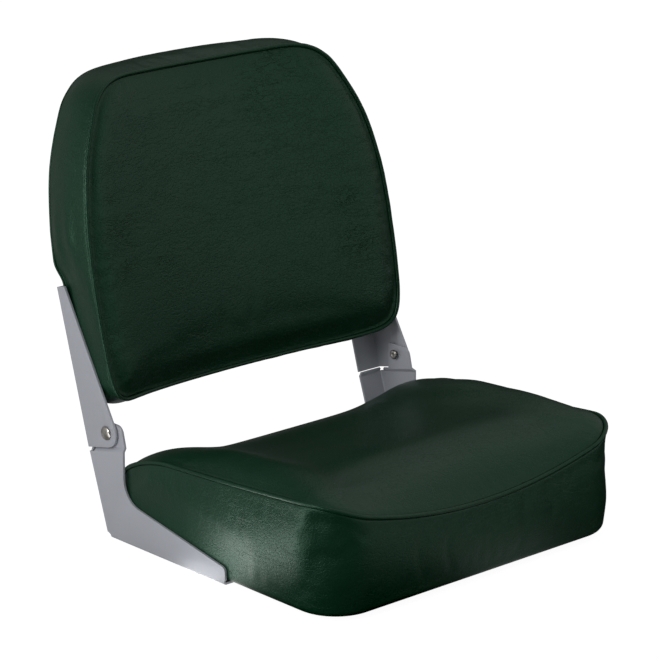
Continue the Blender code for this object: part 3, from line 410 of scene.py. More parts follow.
@dataclass(frozen=True)
class ClothPuff:
    """A short cloth simulation that lets a sewn cover settle and swell over its foam."""

    slack: float = 3 * MM
    cap: float = 1.2 * MM
    pressure: float = 4.0
    last_frame: int = 20
    bending: float = 0.6
    tension: float = 25.0
    hold: float = 8.0
    damping: float = 5.0
    quality: int = 6

    def settle(self, piece: bpy.types.Object, held: np.ndarray) -> None:
        """Run the simulation and write its capped result to the mesh.

        Args:
            piece: The cover's mesh object.
            held: For each vertex, 1 where the seam or a bracket holds it and 0 where it is free.
        """
        group = piece.vertex_groups.new(name="sewn")
        for weight in np.unique(held):
            group.add(np.flatnonzero(held == weight).tolist(), float(weight), "REPLACE")
        cloth = piece.modifiers.new("cloth", "CLOTH")
        configure(cloth.settings, {
            "vertex_group_mass": group.name, "pin_stiffness": self.hold, "use_pressure": True,
            "uniform_pressure_force": self.pressure, "shrink_min": -self.slack,
            "tension_stiffness": self.tension, "compression_stiffness": self.tension,
            "bending_stiffness": self.bending, "air_damping": self.damping, "quality": self.quality,
        })
        cloth.settings.effector_weights.gravity = 0
        cloth.collision_settings.use_collision = False
        cloth.point_cache.frame_start = 1
        cloth.point_cache.frame_end = self.last_frame
        scene = bpy.context.scene
        for number in range(1, self.last_frame + 1):
            scene.frame_set(number)
        start = rows_of(piece.data.vertices, "co")
        evaluated = piece.evaluated_get(bpy.context.evaluated_depsgraph_get())
        moved = rows_of(evaluated.data.vertices, "co") - start
        reach = np.linalg.norm(moved, axis=1, keepdims=True)
        moved *= self.cap * np.tanh(reach / self.cap) / np.maximum(reach, HAIR)
        piece.modifiers.remove(cloth)
        piece.vertex_groups.remove(group)
        set_places(piece.data, start + moved)
        scene.frame_set(1)
        farthest = np.linalg.norm(moved, axis=1).max()
        log.info("%s settled, %.2f mm at most", piece.name, farthest / MM)


def ripple(along: np.ndarray, wavelength: float, seed: float) -> np.ndarray:
    """Return an uneven wave between about -1 and 1, the same in each run.

    Args:
        along: Distances along the seam.
        wavelength: The waves' mean length.
        seed: Shifts the waves, so that pieces differ.

    Returns:
        The wave's height at each distance.
    """
    turn = 2 * math.pi * along / wavelength
    wander = 1.6 * np.sin(turn * 0.13 + seed * 1.7) + 0.9 * np.sin(turn * 0.31 + seed * 2.9)
    swell = 0.55 + 0.45 * np.sin(turn * 0.087 + seed * 4.1) * np.sin(turn * 0.23 + seed)
    return np.sin(turn + wander + seed) * swell


@dataclass(frozen=True)
class Pucker:
    """Small uneven puckers that the stitches pull beside a seam."""

    depth: Values
    wavelength: float
    seed: float
    reach: Values
    start: float
    ramp: float

    def shift(self, along: np.ndarray, away: np.ndarray) -> np.ndarray:
        """Return each place's push, from its distance along the seam and away from it."""
        wave = self.depth * ripple(along, self.wavelength, self.seed)
        return wave * np.exp(-away / self.reach) * smoothstep((away - self.start) / self.ramp)


@dataclass
class PanelNet:
    """A panel's mesh arrays: its places and what each vertex is to the seam."""

    places: np.ndarray
    faces: list
    gaps: np.ndarray
    along: np.ndarray


@dataclass
class CushionCover(Assembly):
    """What the seat's and the backrest's covers have in common."""

    body: Body = Body.SEAT
    vinyl: float = 1.2 * MM
    welt_radius: float = 2.2 * MM
    welt_sides: int = 14
    cord_swell: float = 0.035
    cord_wave: float = 23 * MM
    seam_proud: float = 0.9 * MM
    slope_step: float = 0.5 * MM
    plate_x: float = 0.2025
    crown_length: float = 12 * MM
    bulge_power: float = 1.15
    press_start: float = 5 * MM
    press_fade: float = 42 * MM
    press_hold: float = 1.5
    sewn_share: float = 0.10
    sewn_width: float = 3 * MM
    sewn_fade: float = 6 * MM
    first_share: float = 0.012
    foam_depth: float = 3.4 * MM
    foam_shoulder: tuple = (6.6 * MM, 8.6 * MM, 10.8 * MM, 13.6 * MM, 18.0 * MM)
    edge_steps: tuple = ((0.80, -0.70), (0.95, -0.34), (1.11, 0.05))
    ring_gaps: tuple = (1.1, 2.4, 4.2, 6.6, 9.8, 13.8, 18.3)

    def face(self, spots: np.ndarray, gaps: np.ndarray) -> np.ndarray:
        """Return the main panel's height, which each cushion gives its own form."""
        raise NotImplementedError

    def place(self, points: np.ndarray) -> np.ndarray:
        """Return points in their places, here those of the panel's own frame."""
        return points

    def groove(self, gaps: np.ndarray, width: Values, depth: Values) -> np.ndarray:
        """Return how far the stitching pulls a panel down beside its welt.

        Args:
            gaps: Distances from the seam.
            width: Where the groove is deepest.
            depth: Its depth there.

        Returns:
            The drop of each place.
        """
        share = gaps / width
        return depth * share ** 2 * np.exp(2 * (1 - share))

    def press(self, clear: np.ndarray) -> np.ndarray:
        """Return 1 where a bracket presses a band, fading to 0 with the distance clear of it."""
        return smoothstep(1 - (clear - self.press_start) / self.press_fade)

    def seam_line(self, loop: SeamLoop, face: Face) -> np.ndarray:
        """Return the seam's points on a panel's face."""
        return np.column_stack([loop.points, face(loop.points, loop.spread(0.0))])

    def panel_net(self, loop: SeamLoop, face: Face) -> PanelNet:
        """Return the net of a panel, from its tucked edge to its middle.

        Args:
            loop: The seam in the panel's plane.
            face: The panel's height over its plane, from places and distances to the seam.

        Returns:
            The net, its places still in the panel's own frame.
        """
        count, out = len(loop.points), loop.outward
        seam = self.seam_line(loop, face)
        rise = face(loop.inset(self.slope_step), loop.spread(0.0)) - seam[:, 2]
        inward = unit(np.column_stack([-out * self.slope_step, rise]))
        normal = unit(np.column_stack([out * rise[:, None], loop.spread(self.slope_step)]))
        rings, gaps = [], []
        for reach, lift in self.edge_steps:
            rings.append(seam + (inward * reach + normal * lift) * self.welt_radius)
            gaps.append(loop.spread(reach * self.welt_radius))
        for beyond in self.ring_gaps:
            gap = self.welt_radius + beyond * MM
            spots = loop.inset(gap)
            gaps.append(loop.spread(gap))
            rings.append(np.column_stack([spots, face(spots, gaps[-1])]))
        inner = loop.inside(rings[-1][:, :2])
        inner_gaps, nearest = loop.nearest(inner)
        along = along_loop(loop.points)
        faces = ring_faces(count, len(rings))
        faces += loop.net_faces((len(rings) - 1) * count, len(rings) * count)
        rings.append(np.column_stack([inner, face(inner, inner_gaps)]))
        return PanelNet(np.vstack(rings), faces, np.concatenate(gaps + [inner_gaps]),
                        np.concatenate([along] * len(gaps) + [along[nearest]]))

    def seam_held(self, net: PanelNet) -> np.ndarray:
        """Return how firmly the stitches hold each place of a padded panel."""
        return 1 - (net.gaps - self.sewn_width) / self.sewn_fade

    def band_edge(self, loop: SeamLoop) -> tuple:
        """Return a band's rings tucked beside the main welt, and where its free part starts.

        Args:
            loop: The seam in the panel's plane.

        Returns:
            The rings, and the height of the free part's edge at each point.
        """
        seam = self.seam_line(loop, self.face)
        climb = np.roll(seam, -1, axis=0) - np.roll(seam, 1, axis=0)
        steep = np.linalg.norm(climb, axis=1) / np.linalg.norm(climb[:, :2], axis=1)
        rings = []
        for reach, lift in self.edge_steps:
            ring = seam.copy()
            ring[:, :2] += loop.outward * lift * self.welt_radius
            ring[:, 2] -= reach * self.welt_radius * steep
            rings.append(ring)
        return rings, seam[:, 2] - (self.welt_radius + CLEARANCE) * steep

    def sew(self, name: str, node: str, net: tuple, held: np.ndarray, shift: np.ndarray,
            puff: ClothPuff = ClothPuff()) -> bpy.types.Object:
        """Make one cover piece: settle it, pucker it, thicken it inward and dress it.

        Args:
            name: The piece's name.
            node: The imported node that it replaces.
            net: Its places in the panel's own frame, and its faces.
            held: How firmly each place is held, past 0 and 1 too.
            shift: How far the puckers push each place out.
            puff: The simulation that settles it.

        Returns:
            The finished piece.
        """
        places, faces = net
        piece = mesh_object(name, self.place(places), faces)
        puff.settle(piece, np.clip(held, 0, 1).round(2))
        normals = rows_of(piece.data.vertex_normals, "vector")
        set_places(piece.data, rows_of(piece.data.vertices, "co") + normals * shift[:, None])
        apply_modifier(piece, "SUBSURF", {"levels": 1, "render_levels": 1})
        apply_modifier(piece, "SOLIDIFY", {"thickness": self.vinyl, "offset": -1})
        self.dress(piece, Slot.VINYL, self.body, node)
        return piece

    def foam_block(self, name: str, node: str, loop: SeamLoop, walls: list) -> None:
        """Model and dress a foam block under the band and the main panel, closed below.

        Args:
            name: The block's name.
            node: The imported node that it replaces.
            loop: The seam in the panel's plane.
            walls: The band's rings to follow, from its foot to its shoulder.
        """
        count = len(loop.points)
        inward = np.column_stack([loop.outward, loop.spread(0.0)]) * self.foam_depth
        rings = [wall - inward for wall in walls]
        under = self.seam_line(loop, self.face)[:, 2] - 2 * self.foam_depth
        rings.append(np.column_stack([loop.inset(self.foam_depth + self.vinyl), under]))
        for inset in self.foam_shoulder:
            spots = loop.inset(inset)
            height = self.face(spots, loop.spread(inset)) - self.foam_depth
            rings.append(np.column_stack([spots, height]))
        top = loop.inside(rings[-1][:, :2])
        top_height = self.face(top, loop.nearest(top)[0]) - self.foam_depth
        places = np.vstack(rings + [np.column_stack([top, top_height]), loop.inside(rings[0])])
        faces = ring_faces(count, len(rings))
        faces += loop.net_faces((len(rings) - 1) * count, len(rings) * count)
        faces += loop.net_faces(0, len(rings) * count + len(top))
        piece = mesh_object(name, self.place(places), faces)
        face_out(piece)
        self.dress(piece, Slot.FOAM, self.body, node)

    def welt(self, name: str, node: str, seam: np.ndarray, loop: SeamLoop, radius: float) -> None:
        """Model and dress the corded welt along a seam, slightly uneven as cord in vinyl is.

        Args:
            name: The welt's name.
            node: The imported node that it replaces.
            seam: Its centre line in the panel's own frame.
            loop: A seam whose outward directions the tube's first side follows.
            radius: The welt's radius.
        """
        flat = np.column_stack([loop.outward, loop.spread(0.0)])
        outward = spline_loop(self.place(flat) - self.place(np.zeros((1, 3))), 2)
        seam = spline_loop(self.place(seam), 2)
        tangent = unit(np.roll(seam, -1, axis=0) - np.roll(seam, 1, axis=0))
        first = unit(outward - tangent * (outward * tangent).sum(axis=1, keepdims=True))
        second = np.cross(tangent, first)
        along = along_loop(seam)
        rows = []
        for side in range(self.welt_sides):
            angle = 2 * math.pi * side / self.welt_sides
            swell = 1 + self.cord_swell * ripple(along + side * MM, self.cord_wave, 3.0)
            around = first * math.cos(angle) + second * math.sin(angle)
            rows.append(seam + around * (radius * swell[:, None]))
        places = np.stack(rows, axis=1).reshape(-1, 3)
        piece = mesh_object(name, places, ring_faces(self.welt_sides, len(seam), closed=True))
        face_out(piece)
        self.dress(piece, Slot.VINYL, self.body, node)


@dataclass
class SeatCushion(CushionCover):
    """The seat's cover: top panel, welt and side band with its hem under the pan."""

    half_width: float = 0.2024
    front_reach: float = 0.340
    rear_reach: float = 0.0015
    front_corner: float = 0.048
    rear_corner: float = 0.037
    side_top: float = 0.0040
    side_fall: float = 0.0170
    fall_start: float = 0.300
    fall_power: float = 1.5
    roll_length: float = 0.100
    roll_drop: float = 0.062
    front_roll_start: float = 0.230
    front_drop: float = 0.0350
    front_power: float = 2.2
    crown: float = 0.0095
    rear_crown: float = 0.005
    rear_start: float = 0.157
    rear_run: float = 0.086
    dish_depth: float = 0.0120
    dish_half_width: float = 0.140
    dish_power: int = 6
    dish_start: float = 0.260
    dish_run: float = 0.140
    bolster: float = 0.0095
    rear_bolster: float = 0.0018
    bolster_middle: float = 0.170
    bolster_width: float = 0.028
    bolster_start: float = 0.330
    bolster_run: float = 0.120
    groove_width: float = 4.5 * MM
    groove_depth: float = 1.1 * MM
    bulge: float = 3.2 * MM
    hem_bottom: float = 0.0050
    hem_radius: float = 0.008
    hem_start: float = 0.012
    hem_width: float = 0.032
    bracket_front: float = 0.185
    bracket_neck: float = 0.0263
    bracket_tip: float = 0.0185
    bracket_ramp: float = 0.0285
    flange_height: float = 0.0022
    fold_in: float = 4.2 * MM
    fold_place: float = 23 * MM
    fold_before: float = 9 * MM
    fold_after: float = 30 * MM
    fold_ramp: float = 0.12
    fold_end: float = 0.40
    fold_fade: float = 0.45
    wall_rows: int = 20
    foam_shares: tuple = (0.96, 0.6, 0.3, 0.12)
    top_puckers: Pucker = Pucker(0.30 * MM, 19 * MM, 1.3, 9 * MM, 2.6 * MM, 3 * MM)
    welt_puckers: Pucker = Pucker(0.30 * MM, 17 * MM, 2.1, 0.10, 0.0, 0.04)
    hem_puckers: Pucker = Pucker(0.25 * MM, 26 * MM, 5.2, 0.12, 0.0, HAIR)
    wide: int = 78
    tall: int = 64

    def seam_loop(self) -> SeamLoop:
        """Return the seam in plan.

        Returns:
            The seam, across and back.
        """
        front, rear = PIVOT.y - self.front_reach, PIVOT.y - self.rear_reach
        line, corners = [], []
        for side, y, inward, radius, start in ((-1, front, 1, self.front_corner, 180),
                                               (1, front, 1, self.front_corner, 270),
                                               (1, rear, -1, self.rear_corner, 0),
                                               (-1, rear, -1, self.rear_corner, 90)):
            corners.append((side * self.half_width, y))
            for turn in np.radians(np.linspace(start, start + 90, 25)):
                line.append((side * (self.half_width - radius) + radius * math.cos(turn),
                             y + inward * radius + radius * math.sin(turn)))
        return SeamLoop.through(np.array(line), corners, self.wide, self.tall)

    def side_line(self, back: np.ndarray) -> np.ndarray:
        """Return the seam's height beside the sitter, about the rivet axis.

        Args:
            back: Distances behind the rivet axis.

        Returns:
            The heights.
        """
        run = np.maximum((back + self.fall_start) / self.fall_start, 0)
        height = self.side_top - self.side_fall * (1 - np.maximum(1 - run, 0) ** self.fall_power)
        turn = np.clip((back + self.roll_length) / self.roll_length, 0, 1)
        return height - self.roll_drop * (1 - np.sqrt(1 - turn * turn))

    def face(self, spots: np.ndarray, gaps: np.ndarray) -> np.ndarray:
        """Return the top panel's height at places in plan.

        Args:
            spots: Places, as rows of X and Y.
            gaps: Their distances from the seam.

        Returns:
            Their heights.
        """
        across, back = spots[:, 0], spots[:, 1] - PIVOT.y
        roll = np.maximum(0, -self.front_roll_start - back)
        roll = roll / (self.front_reach - self.front_roll_start)
        middle = np.maximum(0, 1 - (across / self.half_width) ** 2)
        height = self.side_line(back) - self.front_drop * middle * roll ** self.front_power
        rear = smoothstep((back + self.rear_start) / self.rear_run)
        crown = self.crown + (self.rear_crown - self.crown) * rear
        dish = self.dish_depth * smoothstep((back + self.dish_start) / self.dish_run)
        dish = dish * np.exp(-(across / self.dish_half_width) ** self.dish_power)
        bolster = np.exp(-((np.abs(across) - self.bolster_middle) / self.bolster_width) ** 2)
        bolster = bolster * (self.bolster + (self.rear_bolster - self.bolster) * rear)
        bolster = bolster * smoothstep((back + self.bolster_start) / self.bolster_run)
        padding = (crown + bolster - dish) * (1 - np.exp(-gaps / self.crown_length))
        return PIVOT.z + height + padding - self.groove(gaps, self.groove_width, self.groove_depth)

    def pressed(self, y: np.ndarray, height: np.ndarray) -> np.ndarray:
        """Return 1 where the lower bracket presses the band and 0 well clear of it.

        Args:
            y: Places along the seat.
            height: Their heights.

        Returns:
            The share of each place.
        """
        back = y - PIVOT.y
        share = (back + self.bracket_front) / (self.bracket_front - self.bracket_neck)
        above = height - (self.bracket_tip + self.bracket_ramp * share) - self.flange_height
        clear = np.minimum(-self.bracket_neck - back, np.maximum(-self.bracket_front - back, above))
        return self.press(clear)

    def wall(self, loop: SeamLoop, top: np.ndarray, share: float) -> np.ndarray:
        """Return one ring of the band's outer face.

        Args:
            loop: The seam in plan.
            top: The band's upper edge height at each point.
            share: 0 at the welt and 1 where the hem turns in.

        Returns:
            The ring's places.
        """
        height = top + (self.hem_bottom + self.hem_radius - top) * share
        swell = self.bulge * math.sin(math.pi * share) ** self.bulge_power
        free = self.seam_proud * (1 - share) + swell
        press = self.plate_x - CLEARANCE - self.half_width
        cover = self.pressed(loop.points[:, 1], height) * loop.sideways
        shift = free + (press - free) * cover + self.corner_fold(loop, share)
        return np.column_stack([loop.points + loop.outward * shift[:, None], height])

    def corner_fold(self, loop: SeamLoop, share: float) -> np.ndarray:
        """Return how the band flattens behind the upright fold at each front corner.

        Args:
            loop: The seam in plan.
            share: 0 at the welt and 1 where the hem turns in.

        Returns:
            The shift of each point, outward.
        """
        turn = np.arctan2(-loop.outward[:, 1], np.abs(loop.outward[:, 0]))
        ahead = PIVOT.y - self.front_reach + self.front_corner - loop.points[:, 1]
        along = np.where(turn > HAIR, turn * self.front_corner, -np.abs(ahead))
        past = np.where(ahead > 0, along, -np.abs(along)) - self.fold_place
        reach = np.where(past < 0, self.fold_before, self.fold_after)
        depth = self.fold_in * smoothstep(share / self.fold_ramp)
        depth = depth * (1 - smoothstep((share - self.fold_end) / self.fold_fade))
        return -depth * np.exp(-(past / reach) ** 2)

    def build_top(self, loop: SeamLoop) -> None:
        """Model and dress the top panel.

        Args:
            loop: The seam in the panel's plane.
        """
        net = self.panel_net(loop, self.face)
        piece = self.sew("seat_top_cover", "seat_top_panel", (net.places, net.faces),
                         self.seam_held(net), self.top_puckers.shift(net.along, net.gaps))

    def build_band(self, loop: SeamLoop) -> None:
        """Model and dress the side band with its hem.

        Args:
            loop: The seam in the panel's plane.
        """
        count = len(loop.points)
        rings, top = self.band_edge(loop)
        walls = np.linspace(self.first_share, 1, self.wall_rows)
        shares = [0.0] * len(rings) + walls.tolist()
        rings += [self.wall(loop, top, share) for share in walls]
        foot = rings[-1]
        for angle in np.radians(np.linspace(22.5, 90, 4)):
            inward, down = 1 - math.cos(angle), math.sin(angle)
            turn = np.column_stack([loop.outward * inward, loop.spread(down)])
            rings.append(foot - turn * self.hem_radius)
        for inset in np.linspace(self.hem_start, self.hem_width, 4):
            rings.append(np.column_stack([loop.inset(inset), loop.spread(self.hem_bottom)]))
        shares += [1.0] * (len(rings) - len(shares))
        places, share = np.vstack(rings), np.repeat(shares, count)
        cover = self.pressed(places[:, 1], places[:, 2]) * np.tile(loop.sideways, len(rings))
        edge = np.minimum(share, 1 - share)
        held = np.maximum(1 - edge / self.sewn_share, cover * self.press_hold)
        held = np.where(share < 1, held, 1)
        along = np.tile(along_loop(loop.points), len(rings))
        shift = self.welt_puckers.shift(along, share)
        shift += self.hem_puckers.shift(along, 1 - share) * (edge > 0)
        faces = [corners[::-1] for corners in ring_faces(count, len(rings))]
        self.sew("seat_band_cover", "seat_side_band", (places, faces), held, shift * (1 - cover),
                 ClothPuff(slack=4 * MM, cap=1.3 * MM))

    def build(self) -> None:
        """Build the whole cushion."""
        loop = self.seam_loop()
        seam = self.seam_line(loop, self.face)
        top = seam[:, 2] - self.welt_radius - CLEARANCE
        walls = [self.wall(loop, top, share) for share in self.foam_shares]
        self.foam_block("seat_foam_block", "seat_foam", loop, walls)
        self.build_top(loop)
        self.build_band(loop)
        self.welt("seat_cord_welt", "seat_welt", seam, loop, self.welt_radius)
        log.info("seat cover built")


@dataclass
class BackCushion(CushionCover):
    """The backrest's cover: front and rear panels, two welts and the band between them.

    Its own frame lies about the rivet axis: across, up the slope, and out toward the sitter.
    """

    body: Body = Body.BACKREST
    lean: float = math.radians(11.93)
    half_width: float = 0.2038
    bottom: float = 0.0305
    top: float = 0.355
    seam_behind: float = 0.0155
    hollow: float = 0.0315
    crown: float = 0.0065
    low_crown: float = 0.002
    low_start: float = 0.012
    low_fade: float = 0.045
    dome: float = 0.009
    dome_power: float = 0.6
    groove_width: float = 5.0 * MM
    groove_depth: float = 1.5 * MM
    low_groove_width: float = 4.5 * MM
    low_groove_depth: float = 2.6 * MM
    top_rise: float = 0.0125
    top_flare: float = 0.0015
    side_flare: float = 0.0010
    pull_share: float = 0.93
    pull_side: float = 0.0030
    pull_down: float = 0.0050
    pull_reach: float = 0.030
    rise_start: float = 0.200
    bottom_drop: float = 0.003
    drop_end: float = 0.110
    rear_hollow: float = 0.014
    land_edge: float = 0.150
    rear_fall: float = 0.004
    rear_seam_inset: float = 0.005
    rear_seam_drop: float = 0.005
    rear_rounding: float = 0.010
    released_inset: float = 0.0015
    released_drop: float = 0.003
    released_bulge: float = 0.0028
    released_start: float = 0.002
    released_run: float = 0.026
    bulge: float = 2.8 * MM
    turn_in_start: float = 0.68
    rear_welt_radius: float = 1.4 * MM
    bracket_lean: float = math.radians(16.3)
    bracket_reach: float = 0.0379
    bracket_top: float = 0.1541
    bracket_top_width: float = 0.0148
    nose_radius: float = 0.0152
    sheet: float = 0.0025
    streak_up: float = 0.198
    streak_reach: float = 0.034
    streak_depth: float = 0.0008
    streak_count: float = 2.6
    streak_phase: float = 0.8
    streak_ramp: float = 0.15
    side_start: float = 0.150
    side_run: float = 0.04
    side_end: float = 0.30
    side_fade: float = 0.08
    land_fade: float = 0.014
    land_hold: float = 1.3
    rear_sewn_width: float = 2 * MM
    rear_sewn_fade: float = 8 * MM
    sewn_share: float = 0.12
    last_share: float = 0.99
    wall_rows: int = 17
    foam_rows: tuple = (14, 10, 7, 4)
    rear_puckers: Pucker = Pucker(0.22 * MM, 21 * MM, 6.1, 11 * MM, 2.0 * MM, 3 * MM)
    band_puckers: Pucker = Pucker(0.28 * MM, 16 * MM, 7.7, 0.12, 0.0, 0.05)
    wide: int = 72
    tall: int = 62
    outline_shares: tuple = (
        (0.0, 0.0), (0.42, 0.0), (0.77, 0.003), (0.918, 0.026), (0.978, 0.092), (0.998, 0.230),
        (1.0, 0.388), (0.998, 0.446), (0.983, 0.570), (0.932, 0.730), (0.846, 0.859),
        (0.750, 0.950), (0.602, 0.994), (0.330, 1.0), (0.0, 1.0),
    )

    def place(self, points: np.ndarray) -> np.ndarray:
        """Carry points from the backrest's own frame to their places.

        Args:
            points: Rows of across, up and out.

        Returns:
            Rows of X, Y and Z.
        """
        across, up, out = points.T
        sine, cosine = math.sin(self.lean), math.cos(self.lean)
        return np.column_stack([across, PIVOT.y + up * sine - out * cosine,
                                PIVOT.z + up * cosine + out * sine])

    def seam_loop(self) -> SeamLoop:
        """Return the front seam, across and up the slope.

        Returns:
            The seam.
        """
        half = np.array(self.outline_shares) * (self.half_width, self.top - self.bottom)
        half[:, 1] += self.bottom
        line = spline_loop(np.vstack([half, half[-2:0:-1] * (-1, 1)]), 12)
        pulled = np.array([-self.pull_share * self.half_width, self.bottom])
        near = np.exp(-(np.linalg.norm(line - pulled, axis=1) / self.pull_reach) ** 2)
        line = line - near[:, None] * (self.pull_side, self.pull_down)
        corners = [(-self.half_width, self.bottom), (self.half_width, self.bottom),
                   (self.half_width, self.top), (-self.half_width, self.top)]
        return SeamLoop.through(line, corners, self.wide, self.tall)

    def face(self, spots: np.ndarray, gaps: np.ndarray) -> np.ndarray:
        """Return how far out the front panel is at places across and up.

        Args:
            spots: Places, as rows of across and up.
            gaps: Their distances from the seam.

        Returns:
            Their heights.
        """
        share, up = spots[:, 0] / self.half_width, spots[:, 1] - self.bottom
        rise = np.clip(up / (self.top - self.bottom), 0, 1)
        dome = self.dome * np.sin(math.pi * rise ** self.dome_power) * np.maximum(0, 1 - share ** 4)
        low = 1 - smoothstep((up - self.low_start) / self.low_fade)
        groove = self.groove(gaps, self.groove_width + self.low_groove_width * low,
                             self.groove_depth + self.low_groove_depth * low)
        crown = (self.crown + self.low_crown * low) * (1 - np.exp(-gaps / self.crown_length))
        return self.hollow * share ** 2 - self.seam_behind + dome + crown - groove

    def flange_out(self, up: Values) -> Values:
        """Return where the upper flange's inner face stands."""
        tilt = self.bracket_lean - self.lean
        return -(self.bracket_reach - self.sheet + up * math.sin(tilt)) / math.cos(tilt)

    def released(self, up: Values) -> Values:
        """Return 0 where the upper flanges press the cover and 1 well above them."""
        return smoothstep((up - self.bracket_top + self.released_start) / self.released_run)

    def rear_out(self, across: np.ndarray, up: np.ndarray) -> np.ndarray:
        """Return how far out the rear face is: lands under the flanges, bowed between.

        Args:
            across: Places across.
            up: Places up the slope.

        Returns:
            The rear face's place outward.
        """
        fall = np.maximum(0, up - self.bracket_top) / (self.top - self.bracket_top)
        land = self.flange_out(np.minimum(up, self.bracket_top)) - self.rear_fall * fall
        bow = self.rear_hollow * (np.minimum(np.abs(across), self.land_edge) / self.land_edge) ** 2
        return land + CLEARANCE + bow - self.rear_hollow - self.released_bulge * self.released(up)

    def rear_face(self, spots: np.ndarray, gaps: np.ndarray) -> np.ndarray:
        """Return the rear panel's height in its mirrored frame.

        Args:
            spots: Places, as rows of across and up.
            gaps: Their distances from the seam.

        Returns:
            Their heights.
        """
        across, up = spots.T
        drop = self.rear_seam_drop + (self.released_drop - self.rear_seam_drop) * self.released(up)
        return -self.rear_out(across, up) - drop * (1 - smoothstep(gaps / self.rear_rounding))

    def seam_inset(self, up: np.ndarray) -> np.ndarray:
        """Return how far in from the band the rear seam lies."""
        less = self.rear_seam_inset - self.released_inset
        return self.rear_seam_inset - less * self.released(up)

    def rear_spots(self, loop: SeamLoop, inset: Values) -> np.ndarray:
        """Return the rear outline: the front one stretched up and down.

        Args:
            loop: The front seam.
            inset: How far to draw the outline in.

        Returns:
            Places across and up.
        """
        (across, up), out = loop.points.T, loop.outward
        high = smoothstep((up - self.rise_start) / (self.top - self.rise_start))
        low = smoothstep((self.drop_end - up) / (self.drop_end - self.bottom))
        round_off = np.maximum(0, 1 - (across / self.half_width) ** 2)
        rise = self.top_rise * high * round_off - self.bottom_drop * low
        flare = self.top_flare * high + self.side_flare * self.released(up) - inset
        return np.column_stack([across + out[:, 0] * flare, up + rise - out[:, 1] * inset])

    def rear_loop(self, loop: SeamLoop) -> SeamLoop:
        """Return the rear seam, across and up."""
        inset = self.seam_inset(loop.points[:, 1])
        return SeamLoop(self.rear_spots(loop, inset), loop.wide, loop.tall)

    def pressed(self, points: np.ndarray) -> np.ndarray:
        """Return 1 where the upper bracket presses the band and 0 clear of it.

        Args:
            points: Places in the backrest's own frame.

        Returns:
            The share of each place.
        """
        world = self.place(points) - np.array(PIVOT)
        sine, cosine = math.sin(self.bracket_lean), math.cos(self.bracket_lean)
        top_reach = self.bracket_reach - self.bracket_top_width
        corner = (sine * self.bracket_top + cosine * top_reach,
                  cosine * self.bracket_top - sine * top_reach)
        heading = math.atan2(corner[1], corner[0])
        heading += math.acos(self.nose_radius / math.hypot(*corner))
        ahead = world[:, 1] * math.cos(heading) + world[:, 2] * math.sin(heading) - self.nose_radius
        above = world[:, 1] * sine + world[:, 2] * cosine - self.bracket_top
        return self.press(np.maximum(ahead, above))

    def wall_rings(self, loop: SeamLoop) -> tuple:
        """Return the band's rings in the backrest's own frame, with their shares and cover.

        Args:
            loop: The front seam.

        Returns:
            The rings, each one's share from front to rear, and how hard the brackets press
            its points.
        """
        rings, front_edge = self.band_edge(loop)
        shares, covers = [0.0] * len(rings), [loop.spread(0.0)] * len(rings)
        rear, rear_loop = self.rear_spots(loop, 0), self.rear_loop(loop)
        rear_seam = -self.rear_face(rear_loop.points, loop.spread(0.0))
        rear_edge = rear_seam + self.rear_welt_radius + CLEARANCE
        inset = self.seam_inset(loop.points[:, 1]) - self.seam_proud
        for share in np.linspace(self.first_share, self.last_share, self.wall_rows):
            ring = np.column_stack([loop.points + (rear - loop.points) * share,
                                    front_edge + (rear_edge - front_edge) * share])
            free = self.seam_proud + self.bulge * math.sin(math.pi * share) ** self.bulge_power
            press = self.plate_x - CLEARANCE - np.abs(ring[:, 0])
            cover = self.pressed(ring) * loop.sideways
            turn_in = smoothstep((share - self.turn_in_start) / (1 - self.turn_in_start))
            shift = free + (np.minimum(press, free) - free) * cover - inset * turn_in
            ring[:, :2] += loop.outward * shift[:, None]
            rings.append(ring)
            shares.append(float(share))
            covers.append(cover)
        for reach, lift in self.edge_steps[::-1]:
            spots = rear_loop.points + rear_loop.outward * lift * self.rear_welt_radius
            rings.append(np.column_stack([spots, rear_seam + reach * self.rear_welt_radius]))
            shares.append(1.0)
            covers.append(loop.spread(0.0))
        return rings, shares, covers

    def build_front(self, loop: SeamLoop) -> None:
        """Model and dress the front panel.

        Args:
            loop: The seam in the panel's plane.
        """
        net = self.panel_net(loop, self.face)
        across, up = np.abs(net.places[:, 0]), net.places[:, 1]
        beside = smoothstep((across - self.side_start) / self.side_run)
        beside = beside * smoothstep((self.side_end - up) / self.side_fade)
        puckers = Pucker(depth=(0.25 + 0.35 * beside) * MM, wavelength=14 * MM, seed=4.4,
                         reach=(9 + 12 * beside) * MM, start=2.6 * MM, ramp=3 * MM)
        piece = self.sew("back_front_cover", "back_front_panel", (net.places, net.faces),
                         self.seam_held(net), puckers.shift(net.along, net.gaps))

    def build_rear(self, loop: SeamLoop) -> None:
        """Model and dress the rear panel.

        Args:
            loop: The seam in the panel's plane.
        """
        sewn = CushionCover(self.palette, welt_radius=self.rear_welt_radius)
        net = sewn.panel_net(self.rear_loop(loop), self.rear_face)
        across, up = np.abs(net.places[:, 0]), net.places[:, 1]
        under = smoothstep((across - self.land_edge) / self.land_fade) * (1 - self.released(up))
        sewn_in = 1 - (net.gaps - self.rear_sewn_width) / self.rear_sewn_fade
        held = np.maximum(sewn_in, under * self.land_hold)
        shift = self.rear_puckers.shift(net.along, net.gaps) * (1 - np.clip(under * 2, 0, 1))
        faces = [corners[::-1] for corners in net.faces]
        places = net.places * (1, 1, -1)
        self.sew("back_rear_cover", "back_rear_panel", (places, faces), held, shift,
                 ClothPuff(slack=4 * MM))

